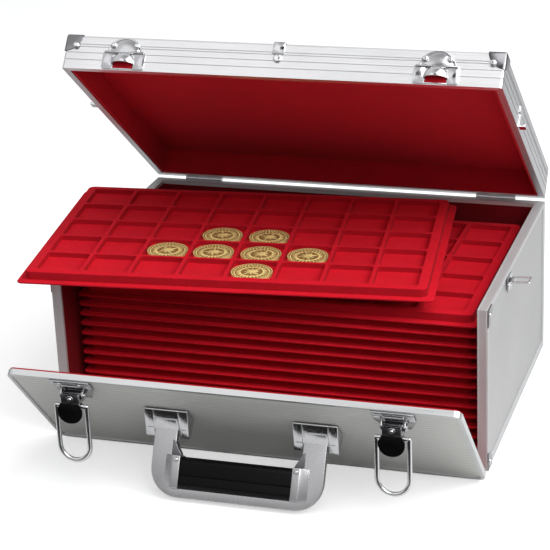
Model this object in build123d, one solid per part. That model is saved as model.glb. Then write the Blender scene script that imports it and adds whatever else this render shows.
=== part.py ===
from build123d import *
import math
import os

# Coin case: an aluminium-edged carrying case with a hinged lid, a drop-down
# front flap and a stack of pocket trays. All sizes are in millimetres.
# The case is drawn closed with its front left bottom corner at x = 0, y = 0,
# z = 0 on the table (x to the right, y to the back, z up). The lid, the flap
# and their fittings are then turned to the pose of the photograph, and at the
# end everything is moved so that the middle of its bounding box is the origin.

# Case body
FOOT_HEIGHT = 6.0
FOOT_RADIUS = 9.0
FOOT_INSET = 24.0
SKIN = 0.8            # aluminium sheet of the edge profiles
LINING = 0.8          # flocked lining
WALL = 7.0            # panel with its profile and lining
FLOOR = 6.0           # bottom panel with its lining
EDGE_LEG = 7.0        # visible width of the profile on the outer faces
RIM_LEG = 3.0         # the same at the rim and the front posts
SILL = 5.0            # profile over the front edge of the bottom panel

# Lid
LID_GAP = 0.4
LID_HEIGHT = 26.6
LID_WALL = 5.0
LID_LIP = 9.0         # flange of the extrusion over the top panel
LID_LIP_THICK = 1.2
LID_PANEL_THICK = 4.0
LID_PADDING = 1.8     # lining on the inside of the lid walls
LID_OPEN = 38.7       # degrees above closed, as photographed
LID_ROUND = 2.0
GROOVE_FROM_TOP = (7.2, 9.0, 13.8, 19.4)
GROOVE_WIDTH = 0.8
GROOVE_DEPTH = 0.6

# Front flap
FLAP_GAP = 0.3
FLAP_THICK = 5.4
FLAP_TOP_GAP = 3.2    # flap top below the rim of the body
FLAP_EDGE_LEG = 2.8
FLAP_CORNER = 5.0
FLAP_LINING = 1.0
FLAP_OPEN = 42.8      # degrees out from upright, as photographed

# Hinges
BACK_HINGE_INSET = 40.5        # hinge middle from the side of the case
BACK_HINGE_LENGTH = 32.0
BACK_HINGE_LEAF = 18.0
FLAP_HINGE_INSET = 46.0
FLAP_HINGE_LENGTH = 24.0
FLAP_HINGE_LEAF = 20.0
FLAP_HINGE_STRIP = 5.0
HINGE_LEAF_THICK = 1.0
KNUCKLE_RADIUS = 2.2
KNUCKLE_GAP = 0.3
HINGE_PIN_RADIUS = 1.1
BACK_HINGE_STANDOFF = 2.6      # pin axis behind the back of the case
FLAP_HINGE_DROP = 2.6          # pin axis below the bottom of the case
RUNNING_GAP = 0.06

# Front latches
LATCH_INSET = 47.7             # latch middle from the side of the case
LATCH_BASE_WIDTH = 30.0
LATCH_BASE_FOOT_WIDTH = 19.0
LATCH_BASE_BOTTOM = 92.4       # heights on the closed flap
LATCH_BASE_TOP = 119.4
LATCH_BASE_THICK = 1.0
LATCH_BASE_SHOULDER = 13.0     # from the top edge down to where the plate narrows
LATCH_PIN_HEIGHT = 105.9
LATCH_PIN_OUT = 5.0            # from the outer face of the flap
LATCH_PIN_RADIUS = 1.5
EAR_INNER = 7.6
EAR_THICK = 1.2
EAR_ROUND = 3.6
LEVER_WIDTH = 13.8
LEVER_ROUND = 3.0
LEVER_ARM_DOWN = 7.0           # bail pivot from the lever pin
LEVER_ARM_OUT = 3.5
LEVER_PLATE_THICK = 1.2
LEVER_PLATE_UP = 3.0
LEVER_PLATE_DOWN = 14.0
LEVER_OPEN = 42.8
TAB_WIDTH = 15.6
TAB_THICK = 2.2
TAB_START = 3.6
TAB_LENGTH = 15.4
BAIL_HALF_WIDTH = 11.5
BAIL_WIRE_RADIUS = 1.5
BAIL_CORNER = 8.5
BAIL_STUB = 7.0
CATCH_WIRE_HEIGHT = 15.6       # engaged bail wire above the rim of the body
CATCH_WIRE_OUT = 4.6
WIRE_GAP = 0.4

# Catches on the lid
CATCH_WIDTH = 33.0
CATCH_SHOULDER = 14.0
CATCH_DOME_RADIUS = 14.0
CATCH_DOME_DROP = 2.4          # dome middle below the shoulder
CATCH_THICK = 1.0
CATCH_BOTTOM = 0.6
CATCH_BUMP_LENGTH = 14.0
CATCH_BUMP_RADIUS = 4.4
CATCH_SLOT_WIDTH = 17.0
CATCH_SLOT_HEIGHT = 3.2
CATCH_RIVET_OFFSET = 12.0
CATCH_RIVET_HEIGHT = 19.0
RIVET_RADIUS = 1.9
RIVET_HEIGHT = 0.9
CAP_RADIUS = 13.5
CAP_THICK = 0.8
CAP_RIVET_INSET = 8.0
CLIP_WIDTH = 9.0
CLIP_HEIGHT = 8.5
CLIP_RIVET_RADIUS = 3.4

# Handle
HANDLE_OFFSET = 55.5           # arm middle from the middle of the case
HANDLE_PIN_HEIGHT = 69.0
HANDLE_PIN_OUT = 9.0
HANDLE_PIN_RADIUS = 2.0
HANDLE_REACH = 49.0
HANDLE_ARM_WIDTH = 17.0
HANDLE_ARM_THICK = 5.0
HANDLE_STRIP = 6.5
HANDLE_CORNER = 21.0
HANDLE_OPEN = 70.5             # degrees out from folded
GRIP_HEIGHT = 23.0
GRIP_THICK = 12.0
GRIP_ROUND = 4.5
BRACKET_WIDTH = 33.0
BRACKET_TOP = 82.0
BRACKET_BOTTOM = 62.5
BRACKET_OUT = 14.6
BRACKET_SLOT_GAP = 0.8
BRACKET_BASE = 2.0

# Side clasps
CLASP_DEPTH = 78.0             # from the front of the case
CLASP_PIVOT_BELOW = 7.6        # below the rim of the body
CLASP_WIRE_RADIUS = 0.8
CLASP_LINK_WIDTH = 10.0
CLASP_LINK_REACH = 13.0
CLASP_KNUCKLE_RADIUS = 1.7
CLASP_KNUCKLE_LENGTH = 6.0
CLASP_PLATE_LENGTH = 14.0
CLASP_PLATE_HEIGHT = 11.0
CLASP_PLATE_THICK = 1.0
CLASP_REST = 4.0               # degrees above level
CLASP_HOOK_WIDTH = 6.4
CLASP_HOOK_HEIGHT = 15.0
CLASP_HOOK_THICK = 0.9
CLASP_HOOK_OUT = 5.4
CLASP_LIP = 2.2

# Trays
COLUMNS = 8
ROWS = 5
POCKET = 33.0
RIB = 2.8
POCKET_DRAFT = 3.5
TRAY_MARGIN = 7.0
FLANGE = 5.5
FLANGE_THICK = 1.2
TRAY_FLOOR = 3.7              # light core under the pockets
TRAY_HEIGHT = 7.65
TRAY_PITCH = 7.95
TRAY_COUNT = 13
TRAY_REST_GAP = 0.3
TRAY_BACK_GAP = 1.6
TRAY_SIDE_GAP = 3.7
TRAY_FRONT_GAP = 20.2         # room for the fingers between the trays and the flap
HEADROOM = 15.35              # over the top tray, up to the rim

# The tray left askew on top, with its coins
LOOSE_LEFT = 44.0             # its middle from the middle of the case
LOOSE_FORWARD = 16.0
LOOSE_YAW = 7.6
LOOSE_TILT = 1.2
LOOSE_RIM_GAP = 0.3
COIN_GAP = 1.0                # between the coin's edge and the pocket's top edge
COIN_THICK = 2.4
COIN_RIM = 1.3
COIN_RELIEF = 0.35
COIN_POCKETS = ((2, 3), (2, 4), (3, 2), (3, 3), (3, 4), (3, 5), (4, 4))

# Levels and places that follow from the sizes above. The case is as large as
# its trays need.
PITCH = POCKET + RIB
GRID_X = COLUMNS * PITCH - RIB
GRID_Y = ROWS * PITCH - RIB
TRAY_X = GRID_X + 2 * TRAY_MARGIN
TRAY_Y = GRID_Y + 2 * TRAY_MARGIN
FLANGE_X = TRAY_X + 2 * FLANGE
FLANGE_Y = TRAY_Y + 2 * FLANGE
WIDTH = FLANGE_X + 2 * (TRAY_SIDE_GAP + WALL)
DEPTH = FLANGE_Y + TRAY_FRONT_GAP + TRAY_BACK_GAP + WALL
BODY_HEIGHT = FLOOR + TRAY_REST_GAP + TRAY_COUNT * TRAY_PITCH + HEADROOM
COIN_RADIUS = POCKET / 2 - COIN_GAP
LATCH_OFFSET = WIDTH / 2 - LATCH_INSET
BACK_HINGE_OFFSET = WIDTH / 2 - BACK_HINGE_INSET
FLAP_HINGE_OFFSET = WIDTH / 2 - FLAP_HINGE_INSET
LOOSE_MIDDLE = (WIDTH / 2 - LOOSE_LEFT, DEPTH / 2 - LOOSE_FORWARD)
RIM = FOOT_HEIGHT + BODY_HEIGHT
LID_BOTTOM = RIM + LID_GAP
LID_TOP = LID_BOTTOM + LID_HEIGHT
FLAP_TOP = RIM - FLAP_TOP_GAP
FLAP_INNER = -FLAP_GAP
FLAP_OUTER = -FLAP_GAP - FLAP_THICK
MIDDLE = WIDTH / 2
LID_AXIS = (DEPTH + BACK_HINGE_STANDOFF, RIM + LID_GAP / 2)
FLAP_AXIS = (-FLAP_GAP / 2, FOOT_HEIGHT - FLAP_HINGE_DROP)
LATCH_AXIS = (FLAP_OUTER - LATCH_PIN_OUT, FOOT_HEIGHT + LATCH_PIN_HEIGHT)
BAIL_AXIS = (LATCH_AXIS[0] - LEVER_ARM_OUT, LATCH_AXIS[1] - LEVER_ARM_DOWN)
CATCH_WIRE = (-CATCH_WIRE_OUT, RIM + CATCH_WIRE_HEIGHT)
BAIL_REACH = math.dist(BAIL_AXIS, CATCH_WIRE)
HANDLE_AXIS = (FLAP_OUTER - HANDLE_PIN_OUT, FOOT_HEIGHT + HANDLE_PIN_HEIGHT)
CLASP_OUT = CLASP_PLATE_THICK + CLASP_KNUCKLE_RADIUS
CLASP_LEVEL = RIM - CLASP_PIVOT_BELOW
STACK_MIDDLE_Y = DEPTH - WALL - TRAY_BACK_GAP - FLANGE_Y / 2
STACK_BASE = FOOT_HEIGHT + FLOOR + TRAY_REST_GAP
LOOSE_LEVEL = RIM + LOOSE_RIM_GAP - (LOOSE_MIDDLE[0] - WALL) * math.tan(math.radians(LOOSE_TILT))


def block(x0, x1, y0, y1, z0, z1):
    """A box given by its two corners."""
    return Pos(x0, y0, z0) * Box(
        x1 - x0, y1 - y0, z1 - z0, align=(Align.MIN, Align.MIN, Align.MIN)
    )


def rod_x(radius, length, x, y, z):
    """A round bar along x with its middle at x, y, z."""
    return Pos(x, y, z) * Rot(0, 90, 0) * Cylinder(radius, length)


def rod_y(radius, length, x, y, z):
    """A round bar along y with its middle at x, y, z."""
    return Pos(x, y, z) * Rot(90, 0, 0) * Cylinder(radius, length)


def turned(shape, axis, degrees):
    """The shape turned about a line along x through axis = (y, z)."""
    return shape.rotate(Axis((0, axis[0], axis[1]), (1, 0, 0)), degrees)


def joined(shapes):
    """Several shapes fused into one."""
    total = shapes[0]
    for shape in shapes[1:]:
        total = total + shape
    return total


def grouped(shapes):
    """Several loose solids kept in one piece."""
    solids = []
    for shape in shapes:
        solids.extend(shape.solids())
    return Compound(solids)


def mirrored(shape):
    """The same piece on the other side of the case."""
    return shape.mirror(Plane((MIDDLE, 0, 0), z_dir=(1, 0, 0)))


def rivet(x, y, z, direction, radius=RIVET_RADIUS, height=RIVET_HEIGHT):
    """A low domed rivet head standing on a face, pointing along direction."""
    head = Cylinder(radius, height, align=(Align.CENTER, Align.CENTER, Align.MIN))
    head = fillet(head.edges().sort_by(Axis.Z)[-1], height * 0.6)
    return Plane(origin=(x, y, z), z_dir=direction) * head


# Case body


def case_frame():
    """Aluminium edge profiles of the body, joined at the corners."""
    shell = block(0, WIDTH, 0, DEPTH, FOOT_HEIGHT, RIM)
    shell -= block(SKIN, WIDTH - SKIN, SKIN, DEPTH - SKIN, FOOT_HEIGHT + SKIN, RIM - SKIN)
    shell -= block(WALL, WIDTH - WALL, -1, DEPTH - WALL, RIM - 2 * SKIN, RIM + 1)
    shell -= block(WALL, WIDTH - WALL, -1, 2 * SKIN, FOOT_HEIGHT + SILL, RIM + 1)
    low = FOOT_HEIGHT + EDGE_LEG
    high = RIM - RIM_LEG
    shell -= block(-1, WIDTH + 1, RIM_LEG, DEPTH - EDGE_LEG, low, high)
    shell -= block(EDGE_LEG, WIDTH - EDGE_LEG, DEPTH - 2 * SKIN, DEPTH + 1, low, high)
    shell -= block(
        EDGE_LEG, WIDTH - EDGE_LEG, EDGE_LEG, DEPTH - EDGE_LEG, FOOT_HEIGHT - 1, FOOT_HEIGHT + 2 * SKIN
    )
    inner = WALL - SKIN
    legs = [
        block(inner, WALL, 0, DEPTH - WALL, high, RIM),
        block(WIDTH - WALL, WIDTH - inner, 0, DEPTH - WALL, high, RIM),
        block(inner, WIDTH - inner, DEPTH - WALL, DEPTH - inner, high, RIM),
        block(inner, WALL, 0, RIM_LEG, FOOT_HEIGHT + FLOOR, RIM),
        block(WIDTH - WALL, WIDTH - inner, 0, RIM_LEG, FOOT_HEIGHT + FLOOR, RIM),
    ]
    for leg in legs:
        shell += leg
    return shell


def side_panel():
    """Left panel board."""
    return block(SKIN, WALL - LINING, SKIN, DEPTH - SKIN, FOOT_HEIGHT + SKIN, RIM - SKIN)


def back_panel():
    """Back panel board between the side panels."""
    inner = WALL - LINING
    return block(inner, WIDTH - inner, DEPTH - inner, DEPTH - SKIN, FOOT_HEIGHT + SKIN, RIM - SKIN)


def bottom_panel():
    """Bottom board between the side panels, in front of the back panel."""
    inner = WALL - LINING
    top = FOOT_HEIGHT + FLOOR - LINING
    return block(inner, WIDTH - inner, SKIN, DEPTH - inner, FOOT_HEIGHT + SKIN, top)


def case_lining():
    """Flocked lining on the floor, the sides and the back."""
    inner = WALL - LINING
    floor = FOOT_HEIGHT + FLOOR
    top = RIM - RIM_LEG
    back = DEPTH - inner
    return joined([
        block(inner, WIDTH - inner, SKIN, back, floor - LINING, floor),
        block(inner, WALL, RIM_LEG, back, floor, top),
        block(WIDTH - WALL, WIDTH - inner, RIM_LEG, back, floor, top),
        block(inner, WIDTH - inner, DEPTH - WALL, back, floor, top),
    ])


def quarter_plate(height, upward):
    """Quarter-round corner plate on the left face at the front, at a height."""
    disc = Rot(0, 90, 0) * Cylinder(CAP_RADIUS, CAP_THICK)
    disc = Pos(-CAP_THICK / 2, 0, height) * disc
    low, high = (height, height + CAP_RADIUS) if upward else (height - CAP_RADIUS, height)
    return disc & block(-CAP_THICK, 0, 0, CAP_RADIUS, low, high)


def body_corner_caps():
    """Chrome corner plates at the top and bottom of the front posts."""
    left = [quarter_plate(RIM, False), quarter_plate(FOOT_HEIGHT, True)]
    return grouped(left + [mirrored(plate) for plate in left])


def body_rivets():
    """Rivet heads on the corner plates and the clasp plates."""
    inset = CAP_RADIUS - CAP_RIVET_INSET
    face = -CAP_THICK
    left = [
        rivet(face, inset, RIM - inset, (-1, 0, 0)),
        rivet(face, inset, FOOT_HEIGHT + inset, (-1, 0, 0)),
    ]
    for step in (-1, 1):
        y = CLASP_DEPTH + step * (CLASP_PLATE_LENGTH / 2 - 2.2)
        left.append(rivet(-CLASP_PLATE_THICK, y, CLASP_LEVEL - 2.4, (-1, 0, 0), 1.3, 0.7))
    return grouped(left + [mirrored(head) for head in left])


def feet():
    """Four round feet under the bottom panel."""
    height = FOOT_HEIGHT + SKIN
    foot = Cylinder(FOOT_RADIUS, height, align=(Align.CENTER, Align.CENTER, Align.MIN))
    foot = fillet(foot.edges().sort_by(Axis.Z)[0], 1.2)
    places = [
        Pos(x, y, 0) * foot
        for x in (FOOT_INSET, WIDTH - FOOT_INSET)
        for y in (FOOT_INSET, DEPTH - FOOT_INSET)
    ]
    return grouped(places)


def hinge_barrels(length, middle, axis, fixed):
    """Knuckles of one leaf: the two outer ones with the pin, or the middle one."""
    y, z = axis
    third = length / 3
    if fixed:
        parts = [rod_x(HINGE_PIN_RADIUS, length, middle, y, z)]
        for side in (-1, 1):
            parts.append(rod_x(KNUCKLE_RADIUS, third - KNUCKLE_GAP, middle + side * third, y, z))
        return joined(parts)
    barrel = rod_x(KNUCKLE_RADIUS, third - KNUCKLE_GAP, middle, y, z)
    return barrel - rod_x(HINGE_PIN_RADIUS + RUNNING_GAP, length, middle, y, z)


def hinge_tongues(length, middle, y_range, z_range, fixed):
    """Strips that carry the knuckles on the leaf."""
    third = length / 3
    half = (third - KNUCKLE_GAP) / 2
    middles = (middle - third, middle + third) if fixed else (middle,)
    return [block(m - half, m + half, *y_range, *z_range) for m in middles]


def back_hinge_leaf(fixed):
    """Both back hinge leaves of the body (fixed) or of the lid, lid closed."""
    y, z = LID_AXIS
    clear = rod_x(HINGE_PIN_RADIUS + RUNNING_GAP, 2 * BACK_HINGE_LENGTH, 0, y, z)
    leaves = []
    for side in (-1, 1):
        middle = MIDDLE + side * BACK_HINGE_OFFSET
        half = BACK_HINGE_LENGTH / 2
        if fixed:
            z_plate = (RIM - BACK_HINGE_LEAF, z - KNUCKLE_RADIUS - KNUCKLE_GAP)
            z_tongue = (z_plate[1], z - HINGE_PIN_RADIUS - RUNNING_GAP)
        else:
            z_plate = (z + KNUCKLE_RADIUS + KNUCKLE_GAP, LID_BOTTOM + BACK_HINGE_LEAF)
            z_tongue = (z + HINGE_PIN_RADIUS + RUNNING_GAP, z_plate[0])
        plate = block(middle - half, middle + half, DEPTH, DEPTH + HINGE_LEAF_THICK, *z_plate)
        tongues = hinge_tongues(BACK_HINGE_LENGTH, middle, (DEPTH, y), z_tongue, fixed)
        barrels = hinge_barrels(BACK_HINGE_LENGTH, middle, LID_AXIS, fixed)
        leaf = joined([plate, barrels] + tongues)
        if not fixed:
            leaf -= Pos(middle, 0, 0) * clear
        leaves.append(leaf)
    return grouped(leaves)


def flap_hinge_leaf(fixed):
    """Both flap hinge leaves under the body (fixed) or the flap, flap closed."""
    y, z = FLAP_AXIS
    leaves = []
    for side in (-1, 1):
        middle = MIDDLE + side * FLAP_HINGE_OFFSET
        half = FLAP_HINGE_LENGTH / 2
        if fixed:
            y_plate = (y + KNUCKLE_RADIUS + KNUCKLE_GAP, FLAP_HINGE_LEAF)
            y_tongue = (y + HINGE_PIN_RADIUS + RUNNING_GAP, y_plate[0])
        else:
            y_plate = (y - FLAP_HINGE_STRIP, y - KNUCKLE_RADIUS - KNUCKLE_GAP)
            y_tongue = (y_plate[1], y - HINGE_PIN_RADIUS - RUNNING_GAP)
        top = FOOT_HEIGHT
        plate = block(middle - half, middle + half, *y_plate, top - HINGE_LEAF_THICK, top)
        tongues = hinge_tongues(FLAP_HINGE_LENGTH, middle, y_tongue, (z, top), fixed)
        barrels = hinge_barrels(FLAP_HINGE_LENGTH, middle, FLAP_AXIS, fixed)
        leaves.append(joined([plate, barrels] + tongues))
    return grouped(leaves)


def clasp_base():
    """Plate with a knuckle for the clasp link, on the left face of the body."""
    z = CLASP_LEVEL
    half = CLASP_PLATE_LENGTH / 2
    plate = block(
        -CLASP_PLATE_THICK, 0, CLASP_DEPTH - half, CLASP_DEPTH + half,
        z - CLASP_PLATE_HEIGHT + 4, z + 4,
    )
    knuckle = rod_y(CLASP_KNUCKLE_RADIUS, CLASP_KNUCKLE_LENGTH, -CLASP_OUT, CLASP_DEPTH, z)
    bore = rod_y(CLASP_WIRE_RADIUS + RUNNING_GAP, CLASP_PLATE_LENGTH, -CLASP_OUT, CLASP_DEPTH, z)
    return plate + knuckle - bore


def clasp_link():
    """Wire link of the left clasp, lying level."""
    z = CLASP_LEVEL
    half = CLASP_LINK_WIDTH / 2
    near = -CLASP_OUT
    far = near - CLASP_LINK_REACH
    radius = CLASP_WIRE_RADIUS
    link = rod_y(radius, CLASP_LINK_WIDTH, near, CLASP_DEPTH, z)
    link += rod_y(radius, CLASP_LINK_WIDTH, far, CLASP_DEPTH, z)
    for y in (CLASP_DEPTH - half, CLASP_DEPTH + half):
        link += rod_x(radius, CLASP_LINK_REACH, (near + far) / 2, y, z)
        link += Pos(near, y, z) * Sphere(radius)
        link += Pos(far, y, z) * Sphere(radius)
    return link


# Lid, drawn closed


def lid_ring():
    """The whole extruded frame of the lid before its mitre cuts."""
    outer = block(0, WIDTH, 0, DEPTH, LID_BOTTOM, LID_TOP)
    edges = outer.edges().filter_by(Axis.Z) + outer.faces().sort_by(Axis.Z)[-1].edges()
    outer = fillet(edges, LID_ROUND)
    wall = LID_WALL
    ring = outer - block(wall, WIDTH - wall, wall, DEPTH - wall, LID_BOTTOM - 1, LID_TOP - LID_LIP_THICK)
    ring -= block(LID_LIP, WIDTH - LID_LIP, LID_LIP, DEPTH - LID_LIP, LID_TOP - 2 * LID_LIP_THICK, LID_TOP + 1)
    for drop in GROOVE_FROM_TOP:
        z0 = LID_TOP - drop - GROOVE_WIDTH / 2
        band = block(-1, WIDTH + 1, -1, DEPTH + 1, z0, z0 + GROOVE_WIDTH)
        band -= block(
            GROOVE_DEPTH, WIDTH - GROOVE_DEPTH, GROOVE_DEPTH, DEPTH - GROOVE_DEPTH, z0, z0 + GROOVE_WIDTH
        )
        ring -= band
    return ring


def lid_sides():
    """The four mitred extrusions of the lid."""
    ring = lid_ring()
    reach = 20.0
    corners = {
        "front": [(-1, -1), (WIDTH + 1, -1), (WIDTH - reach, reach), (reach, reach)],
        "back": [
            (-1, DEPTH + 1), (reach, DEPTH - reach), (WIDTH - reach, DEPTH - reach), (WIDTH + 1, DEPTH + 1),
        ],
        "left": [(-1, -1), (reach, reach), (reach, DEPTH - reach), (-1, DEPTH + 1)],
        "right": [
            (WIDTH + 1, -1), (WIDTH + 1, DEPTH + 1), (WIDTH - reach, DEPTH - reach), (WIDTH - reach, reach),
        ],
    }
    sides = {}
    for name, points in corners.items():
        wedge = extrude(make_face(Polyline(*points, close=True)), LID_HEIGHT + 4, dir=(0, 0, 1))
        sides["lid_frame_" + name] = ring & (Pos(0, 0, LID_BOTTOM - 2) * wedge)
    return sides


def lid_panel():
    """Top panel of the lid, under the lip of the frame."""
    top = LID_TOP - LID_LIP_THICK
    return block(LID_WALL, WIDTH - LID_WALL, LID_WALL, DEPTH - LID_WALL, top - LID_PANEL_THICK, top)


def lid_lining():
    """Flocked lining under the lid panel and inside the lid walls."""
    top = LID_TOP - LID_LIP_THICK - LID_PANEL_THICK
    bottom = LID_BOTTOM + 0.8
    outer = LID_WALL
    inner = LID_WALL + LID_PADDING
    pad = block(outer, WIDTH - outer, outer, DEPTH - outer, bottom, top)
    return pad - block(inner, WIDTH - inner, inner, DEPTH - inner, bottom - 1, top - LINING)


def lid_corner_caps():
    """Pressed corner caps over the two front top corners of the lid."""
    thick = CAP_THICK
    size = CAP_RADIUS
    cap = block(-thick, size, -thick, size, LID_TOP - size, LID_TOP + thick)
    core = block(0, size + 1, 0, size + 1, LID_TOP - size - 1, LID_TOP)
    cap = cap - core
    cap = cap & (Pos(0, 0, LID_TOP) * Sphere(size))
    return grouped([cap, mirrored(cap)])


def catch(middle):
    """Chrome catch plate with its ridge for the bail, on the lid front."""
    bottom = LID_BOTTOM + CATCH_BOTTOM
    half = CATCH_WIDTH / 2
    shoulder = LID_BOTTOM + CATCH_SHOULDER
    plate = block(middle - half, middle + half, -CATCH_THICK, 0, bottom, shoulder)
    plate = fillet(plate.edges().filter_by(Axis.Y), 1.5)
    dome = rod_y(CATCH_DOME_RADIUS, CATCH_THICK, middle, -CATCH_THICK / 2, shoulder - CATCH_DOME_DROP)
    plate += dome
    slot_half = CATCH_SLOT_WIDTH / 2
    slot = LID_BOTTOM + 1.8
    plate -= block(
        middle - slot_half, middle + slot_half, -2 * CATCH_THICK, 1, slot, slot + CATCH_SLOT_HEIGHT
    )
    ridge_z = CATCH_WIRE[1] - BAIL_WIRE_RADIUS - WIRE_GAP - CATCH_BUMP_RADIUS
    ridge = rod_x(CATCH_BUMP_RADIUS, CATCH_BUMP_LENGTH, middle, -CATCH_THICK, ridge_z)
    ridge = ridge & block(
        middle - half, middle + half, -CATCH_THICK - CATCH_BUMP_RADIUS, -CATCH_THICK,
        ridge_z - CATCH_BUMP_RADIUS, ridge_z + CATCH_BUMP_RADIUS,
    )
    return plate + ridge


def lid_clip():
    """Small clip plate in the middle of the lid front, over its top edge."""
    half = CLIP_WIDTH / 2
    bottom = LID_TOP - CLIP_HEIGHT
    front = block(MIDDLE - half, MIDDLE + half, -1, 0, bottom, LID_TOP + 0.8)
    return fillet(front.edges().filter_by(Axis.Y).sort_by(Axis.Z)[0:2], 1.5)


def lid_rivets():
    """Rivet heads of the catches, the corner caps and the clip."""
    heads = [rivet(MIDDLE, 0, LID_TOP - CLIP_HEIGHT - CLIP_RIVET_RADIUS, (0, -1, 0), CLIP_RIVET_RADIUS, 1.6)]
    inset = CAP_RADIUS - CAP_RIVET_INSET + 3.0
    left = [rivet(inset, -CAP_THICK, LID_TOP - inset, (0, -1, 0))]
    for side in (-1, 1):
        x = MIDDLE - LATCH_OFFSET + side * CATCH_RIVET_OFFSET * 0.75
        left.append(rivet(x, -CATCH_THICK, LID_BOTTOM + CATCH_RIVET_HEIGHT, (0, -1, 0)))
    return grouped(heads + left + [mirrored(head) for head in left])


def clasp_hook():
    """Hook plate on the left face of the lid."""
    half = CLASP_HOOK_WIDTH / 2
    bottom = LID_BOTTOM + 1.0
    thick = CLASP_HOOK_THICK
    y0, y1 = CLASP_DEPTH - half, CLASP_DEPTH + half
    hook = block(-thick, 0, y0, y1, bottom, bottom + CLASP_HOOK_HEIGHT)
    hook += block(-CLASP_HOOK_OUT, 0, y0, y1, bottom, bottom + thick)
    hook += block(-CLASP_HOOK_OUT, -CLASP_HOOK_OUT + thick, y0, y1, bottom, bottom + CLASP_LIP)
    bar = bottom + CLASP_HOOK_HEIGHT
    hook += block(-thick, 0, y0 - 2.5, y1 + 2.5, bar - 4.5, bar)
    return hook


# Flap, drawn closed


def rounded_slab(x0, x1, y0, y1, z0, z1, radius):
    """An upright slab with rounded corners as seen from the front."""
    slab = block(x0, x1, y0, y1, z0, z1)
    return fillet(slab.edges().filter_by(Axis.Y), radius)


def flap_edge():
    """Aluminium profile around the flap."""
    inner_y = FLAP_INNER - FLAP_LINING
    outer = rounded_slab(0, WIDTH, FLAP_OUTER, inner_y, FOOT_HEIGHT, FLAP_TOP, FLAP_CORNER)
    hollow = rounded_slab(
        SKIN, WIDTH - SKIN, FLAP_OUTER + SKIN, inner_y + 1,
        FOOT_HEIGHT + SKIN, FLAP_TOP - SKIN, FLAP_CORNER - SKIN,
    )
    leg = FLAP_EDGE_LEG
    window = rounded_slab(
        leg, WIDTH - leg, FLAP_OUTER - 1, FLAP_OUTER + 2 * SKIN,
        FOOT_HEIGHT + leg, FLAP_TOP - leg, FLAP_CORNER - SKIN,
    )
    return outer - hollow - window


def flap_panel():
    """Board of the flap inside its profile."""
    inner_y = FLAP_INNER - FLAP_LINING
    return rounded_slab(
        SKIN, WIDTH - SKIN, FLAP_OUTER + SKIN, inner_y, FOOT_HEIGHT + SKIN, FLAP_TOP - SKIN, FLAP_CORNER - SKIN
    )


def flap_lining():
    """Flocked lining over the inner face of the flap."""
    return rounded_slab(
        SKIN, WIDTH - SKIN, FLAP_INNER - FLAP_LINING, FLAP_INNER, FOOT_HEIGHT + SKIN, FLAP_TOP, FLAP_CORNER
    )


def latch_base(middle):
    """Latch plate on the flap with two ears and the lever pin."""
    z0 = FOOT_HEIGHT + LATCH_BASE_BOTTOM
    z1 = FOOT_HEIGHT + LATCH_BASE_TOP
    half = LATCH_BASE_WIDTH / 2
    foot = LATCH_BASE_FOOT_WIDTH / 2
    shoulder = z1 - LATCH_BASE_SHOULDER
    outline = Polyline(
        (middle - foot, z0), (middle + foot, z0), (middle + half, shoulder),
        (middle + half, z1), (middle - half, z1), (middle - half, shoulder), close=True,
    )
    back = FLAP_OUTER
    plate = extrude(Plane.XZ * make_face(outline), LATCH_BASE_THICK)
    plate = Pos(0, back, 0) * plate
    for side in (-1, 1):
        x = middle + side * 7.5
        plate -= block(x - 5, x + 5, back - 3, back + 1, z1 - 4.2, z1 - 2.2)
    y, z = LATCH_AXIS
    for side in (-1, 1):
        x0 = middle + side * EAR_INNER
        x1 = middle + side * (EAR_INNER + EAR_THICK)
        low, high = min(x0, x1), max(x0, x1)
        ear = block(low, high, y, back, z - EAR_ROUND, z + EAR_ROUND)
        ear += rod_x(EAR_ROUND, EAR_THICK, (low + high) / 2, y, z)
        plate += ear
    return plate + rod_x(LATCH_PIN_RADIUS, 2 * (EAR_INNER + EAR_THICK) + 1.4, middle, y, z)


def lever(middle):
    """Chrome latch lever lying against the flap."""
    ly, lz = LATCH_AXIS
    by, bz = BAIL_AXIS
    width = LEVER_WIDTH
    arm = rod_x(LEVER_ROUND, width, middle, ly, lz) + rod_x(LEVER_ROUND, width, middle, by, bz)
    length = math.dist(LATCH_AXIS, BAIL_AXIS)
    slope = math.degrees(math.atan2(LEVER_ARM_OUT, LEVER_ARM_DOWN))
    web = Box(width, 2 * LEVER_ROUND, length)
    arm += Pos(middle, (ly + by) / 2, (lz + bz) / 2) * Rot(-slope, 0, 0) * web
    out = by - LEVER_ROUND
    plate = block(
        middle - width / 2, middle + width / 2, out, out + LEVER_PLATE_THICK,
        lz - LEVER_PLATE_DOWN, lz + LEVER_PLATE_UP,
    )
    arm += plate + block(
        middle - width / 2, middle + width / 2, out, by, bz - LEVER_ROUND, bz + LEVER_ROUND
    )
    arm -= rod_x(LATCH_PIN_RADIUS + RUNNING_GAP, 2 * width, middle, ly, lz)
    return arm - rod_x(BAIL_WIRE_RADIUS + RUNNING_GAP, 2 * width, middle, by, bz)


def lever_tab(middle):
    """Black finger tab on the front of the lever."""
    out = BAIL_AXIS[0] - LEVER_ROUND
    top = LATCH_AXIS[1] - TAB_START
    half = TAB_WIDTH / 2
    tab = block(middle - half, middle + half, out - TAB_THICK, out, top - TAB_LENGTH, top)
    tab = fillet(tab.edges().filter_by(Axis.Y).sort_by(Axis.Z)[0:2], 5.5)
    tab = fillet(tab.edges().filter_by(Axis.Y).sort_by(Axis.Z)[-2:], 1.2)
    return tab


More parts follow.
